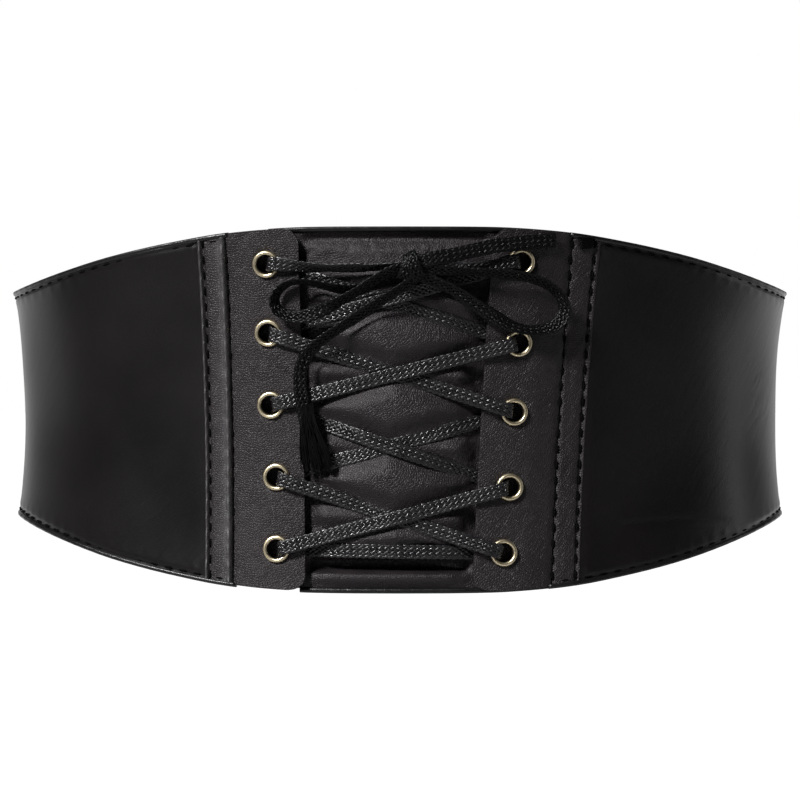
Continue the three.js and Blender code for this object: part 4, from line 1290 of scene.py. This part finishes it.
# The back
def make_elastic(side, material):
    """An elastic band: woven ribs run round the waist."""
    start, end = WING_END - ELASTIC_OVERLAP, WAIST_LENGTH / 2 - GAP
    ribs, rib_depth = 24, 0.14 * MM

    def lay(column, share):
        return side.sign * mix(start, end, column), share * ELASTIC_HEIGHT / 2

    def back(along, height):
        return 0 * along

    def front(along, height):
        wave = np.cos(math.tau * height / (ELASTIC_HEIGHT / ribs))
        edge = ELASTIC_HEIGHT / 2 - np.abs(height)
        return ELASTIC_WALL - rib_depth + rib_depth * wave * ease(0, 2 * MM, edge)

    bm = cut_sheet(even(50), even(ribs * 8), lay)
    made = finish_sheet(f"elastic_{side.name}", bm, material, back, front,
                        kind="webbing")


def make_closure(material):
    """The fastened tab at the middle of the back."""
    middle = WAIST_LENGTH / 2

    def lay(column, share):
        return middle + (column - 0.5) * CLOSURE_WIDTH, share * ELASTIC_HEIGHT / 2

    def back(along, height):
        return ELASTIC_WALL + GAP + 0 * along

    def front(along, height):
        inset = np.minimum(CLOSURE_WIDTH / 2 - np.abs(along - middle),
                           ELASTIC_HEIGHT / 2 - np.abs(height))
        soft = 0.25 * MM * swell(along, height, 24 * MM, 77)
        dip = 0.4 * MM * bell(inset - CLOSURE_STITCH_INSET, 0.8 * MM)
        return back(along, height) + CLOSURE_WALL - dip + soft

    finish_sheet("back_closure", cut_sheet(even(40), even(90), lay), material,
                 back, front, (0.6 * MM, 3))


# Stitches
def add_stitch(bm, head, tail, wide, deep, rings=6):
    """One stitch of thread, from head to tail."""
    head, tail = Vector(head), Vector(tail)
    run = tail - head
    turn = run.to_track_quat("X", "Z").to_matrix().to_4x4()
    size = Matrix.Diagonal((run.length, wide, deep, 1))
    bmesh.ops.create_uvsphere(bm, u_segments=8, v_segments=rings, radius=0.5,
                              matrix=Matrix.Translation((head + tail) / 2) @ turn @ size)


def stitch_row(bm, start, end, spot, dice):
    """Stitches along a line: spot gives the place along, up and out for a distance from start to
    end."""
    count = round((end - start) / STITCH_PITCH)
    for n in range(count):
        middle = start + (n + 0.5) * (end - start) / count
        wide = THREAD * dice.uniform(0.9, 1.1)
        add_stitch(bm, spot(middle - STITCH_LENGTH / 2), spot(middle + STITCH_LENGTH / 2),
                   wide, wide)


def make_stitches(side, material):
    """All the stitches of one side: two upright rows, both hems and the rear seam."""
    dice = random.Random(100 + side.sign)
    top = FRONT_HEIGHT / 2 - 3.4 * MM
    strip_out = PANEL_WALL + GAP + CHANNEL_WALL
    rear = WING_END - REAR_STITCH_INSET
    rear_top = float(panel_top(rear)) - 3 * MM
    bm = bmesh.new()

    def on_inner_seam(h):
        return side.sign * float(channel_seam(side, h) + 0.1 * MM), h, strip_out - 0.1 * MM

    def on_outer_seam(h):
        return side.sign * float(wing_seam(side, h)), h, strip_out - 0.25 * MM

    def on_rear_seam(h):
        return side.sign * rear, h, float(wing_front(side, side.sign * rear, h)) + 0.1 * MM

    stitch_row(bm, -top, top, on_inner_seam, dice)
    stitch_row(bm, -top, top, on_outer_seam, dice)
    for sign in (-1, 1):
        first = float(channel_seam(side, sign * top)) + 1 * MM
        on_hem = lambda d: (side.sign * d, sign * float(half_height(d) - HEM_STITCH_INSET),
                            float(wing_back(d)) + WING_WALL - 0.35 * MM)
        stitch_row(bm, first, first + CHANNEL_WIDTH - 1 * MM, on_hem, dice)
        stitch_row(bm, first + CHANNEL_WIDTH + 1 * MM, WING_END - 2 * MM, on_hem, dice)
    stitch_row(bm, -rear_top, rear_top, on_rear_seam, dice)
    bend_round(bm)
    finish_piece(f"stitches_{side.name}", bm, material)


def make_closure_stitches(material):
    dice = random.Random(7)
    bm = bmesh.new()
    middle = WAIST_LENGTH / 2
    half_width = CLOSURE_WIDTH / 2 - CLOSURE_STITCH_INSET
    half_tall = ELASTIC_HEIGHT / 2 - CLOSURE_STITCH_INSET
    out = ELASTIC_WALL + GAP + CLOSURE_WALL - 0.25 * MM
    for sign in (-1, 1):
        stitch_row(bm, -half_tall, half_tall,
                   lambda h: (middle + sign * half_width, h, out), dice)
        stitch_row(bm, -half_width, half_width,
                   lambda a: (middle + a, sign * half_tall, out), dice)
    bend_round(bm)
    finish_piece("stitches_closure", bm, material)


def make_bar_tack(material):
    """A bar tack at the top of the right strip: a dense zigzag of thread."""
    dice = random.Random(3)
    bm = bmesh.new()
    middle = FRONT_HEIGHT / 2 - 5.9 * MM
    width, tall, thread, rows = 6.4 * MM, 3.6 * MM, 0.5 * MM, 13
    centre = float(wing_seam(SIDES[1], middle)) - width * 0.55
    for n in range(rows):
        height = middle + (n / (rows - 1) - 0.5) * tall
        lean = 0.25 * MM * (-1) ** n
        add_stitch(
            bm, (centre - width / 2, height - lean, PANEL_WALL + CHANNEL_WALL + 1.1 * MM),
            (centre + width / 2, height + lean, WING_LIFT + WING_WALL + 0.4 * MM),
            thread * dice.uniform(0.9, 1.1), thread, 8)
    bend_round(bm)
    finish_piece("bar_tack_right", bm, material)


# Studio
FLOOR_HEIGHT = -0.2


def make_floor():
    """A pale floor well below the belt, as wide as the room."""
    bm = bmesh.new()
    bmesh.ops.create_circle(bm, cap_ends=True, segments=96, radius=6)
    bmesh.ops.translate(bm, verts=bm.verts[:], vec=(0, 0, FLOOR_HEIGHT))
    mesh = bpy.data.meshes.new("floor")
    bm.to_mesh(mesh)
    bm.free()
    mesh.materials.append(stage_board())
    new_object("floor", mesh)


def add_softbox(name, place, size, power, spread):
    """A soft white lamp that shines on the belt and isn't seen itself."""
    data = bpy.data.lights.new(name, "AREA")
    data.shape, data.size, data.size_y = "RECTANGLE", size[0], size[1]
    data.energy, data.spread = power, math.radians(spread)
    light = new_object(name, data)
    light.location = place
    light.rotation_euler = (-Vector(place)).to_track_quat("-Z", "Y").to_euler()
    light.visible_camera = False


def light_studio():
    """A white room that is dim in front of the belt, so that its front reflects little, and a
    softbox at the front left. The room behind the belt is seen as white as its floor."""
    world = bpy.data.worlds.new("studio")
    world.use_nodes = True
    bpy.context.scene.world = world
    tree = world.node_tree
    way = add(tree, "TexCoord").outputs["Generated"]
    parts = add(tree, "SeparateXYZ", {"Vector": way})
    strength = add(tree, "MapRange", {
        "Value": parts.outputs["Y"], "From Min": 0.58, "From Max": 1.0, "To Min": 0.02,
        "To Max": 0.7}, interpolation_type="SMOOTHSTEP")
    seen = add(tree, "LightPath").outputs["Is Camera Ray"]
    shown = add(tree, "Math", {0: strength.outputs["Result"], 1: seen}, operation="MAXIMUM")
    feed(tree, tree.nodes["Background"], {
        "Color": (1, 1, 1, 1), "Strength": shown.outputs["Value"]})
    add_softbox("key", (-1.12, -1.18, 1.3), (0.45, 0.45), 4.8, 50)
    add_softbox("side", (1.5, 0.05, 0.3), (0.3, 1.2), 0.42, 90)
    bpy.context.scene.view_settings.view_transform = "Standard"


def build():
    set_camera()
    # One lace in two copies: the bow's copy is painted darker and less glossy as painted shade on
    # its loops and tails, and the lacing's copy is painted lighter and glossier as painted light.
    lace_painted_shade = braided_polyester("slack_braided_polyester", (0x030304, 0x0b0b0c), (0.26, 0.5), 0.17)
    tight = braided_polyester("tight_braided_polyester", (0x080708, 0x211f22), (0.18, 0.5), 0.5)
    make_bow(lace_painted_shade)
    make_lacing(tight)
    brass = antique_brass()
    for seat in SEATS.values():
        make_eyelet(seat, brass)
    grained, smooth = grained_leather(), smooth_leather()
    edge, thread, elastic = edge_leather(), bonded_thread(), elastic_webbing()
    make_panel(grained)
    for sign in (1, -1):
        make_centre_edge(sign, edge)
    for side in SIDES:
        make_facing(side, grained)
        make_channel(side, grained)
        make_elastic(side, elastic)
        make_wing(side, smooth)
        for sign in (1, -1):
            make_wing_hem(side, sign, edge)
        make_stitches(side, thread)
    make_closure(smooth)
    make_closure_stitches(thread)
    make_bar_tack(thread)
    make_floor()
    light_studio()


build()
bpy.context.view_layer.update()
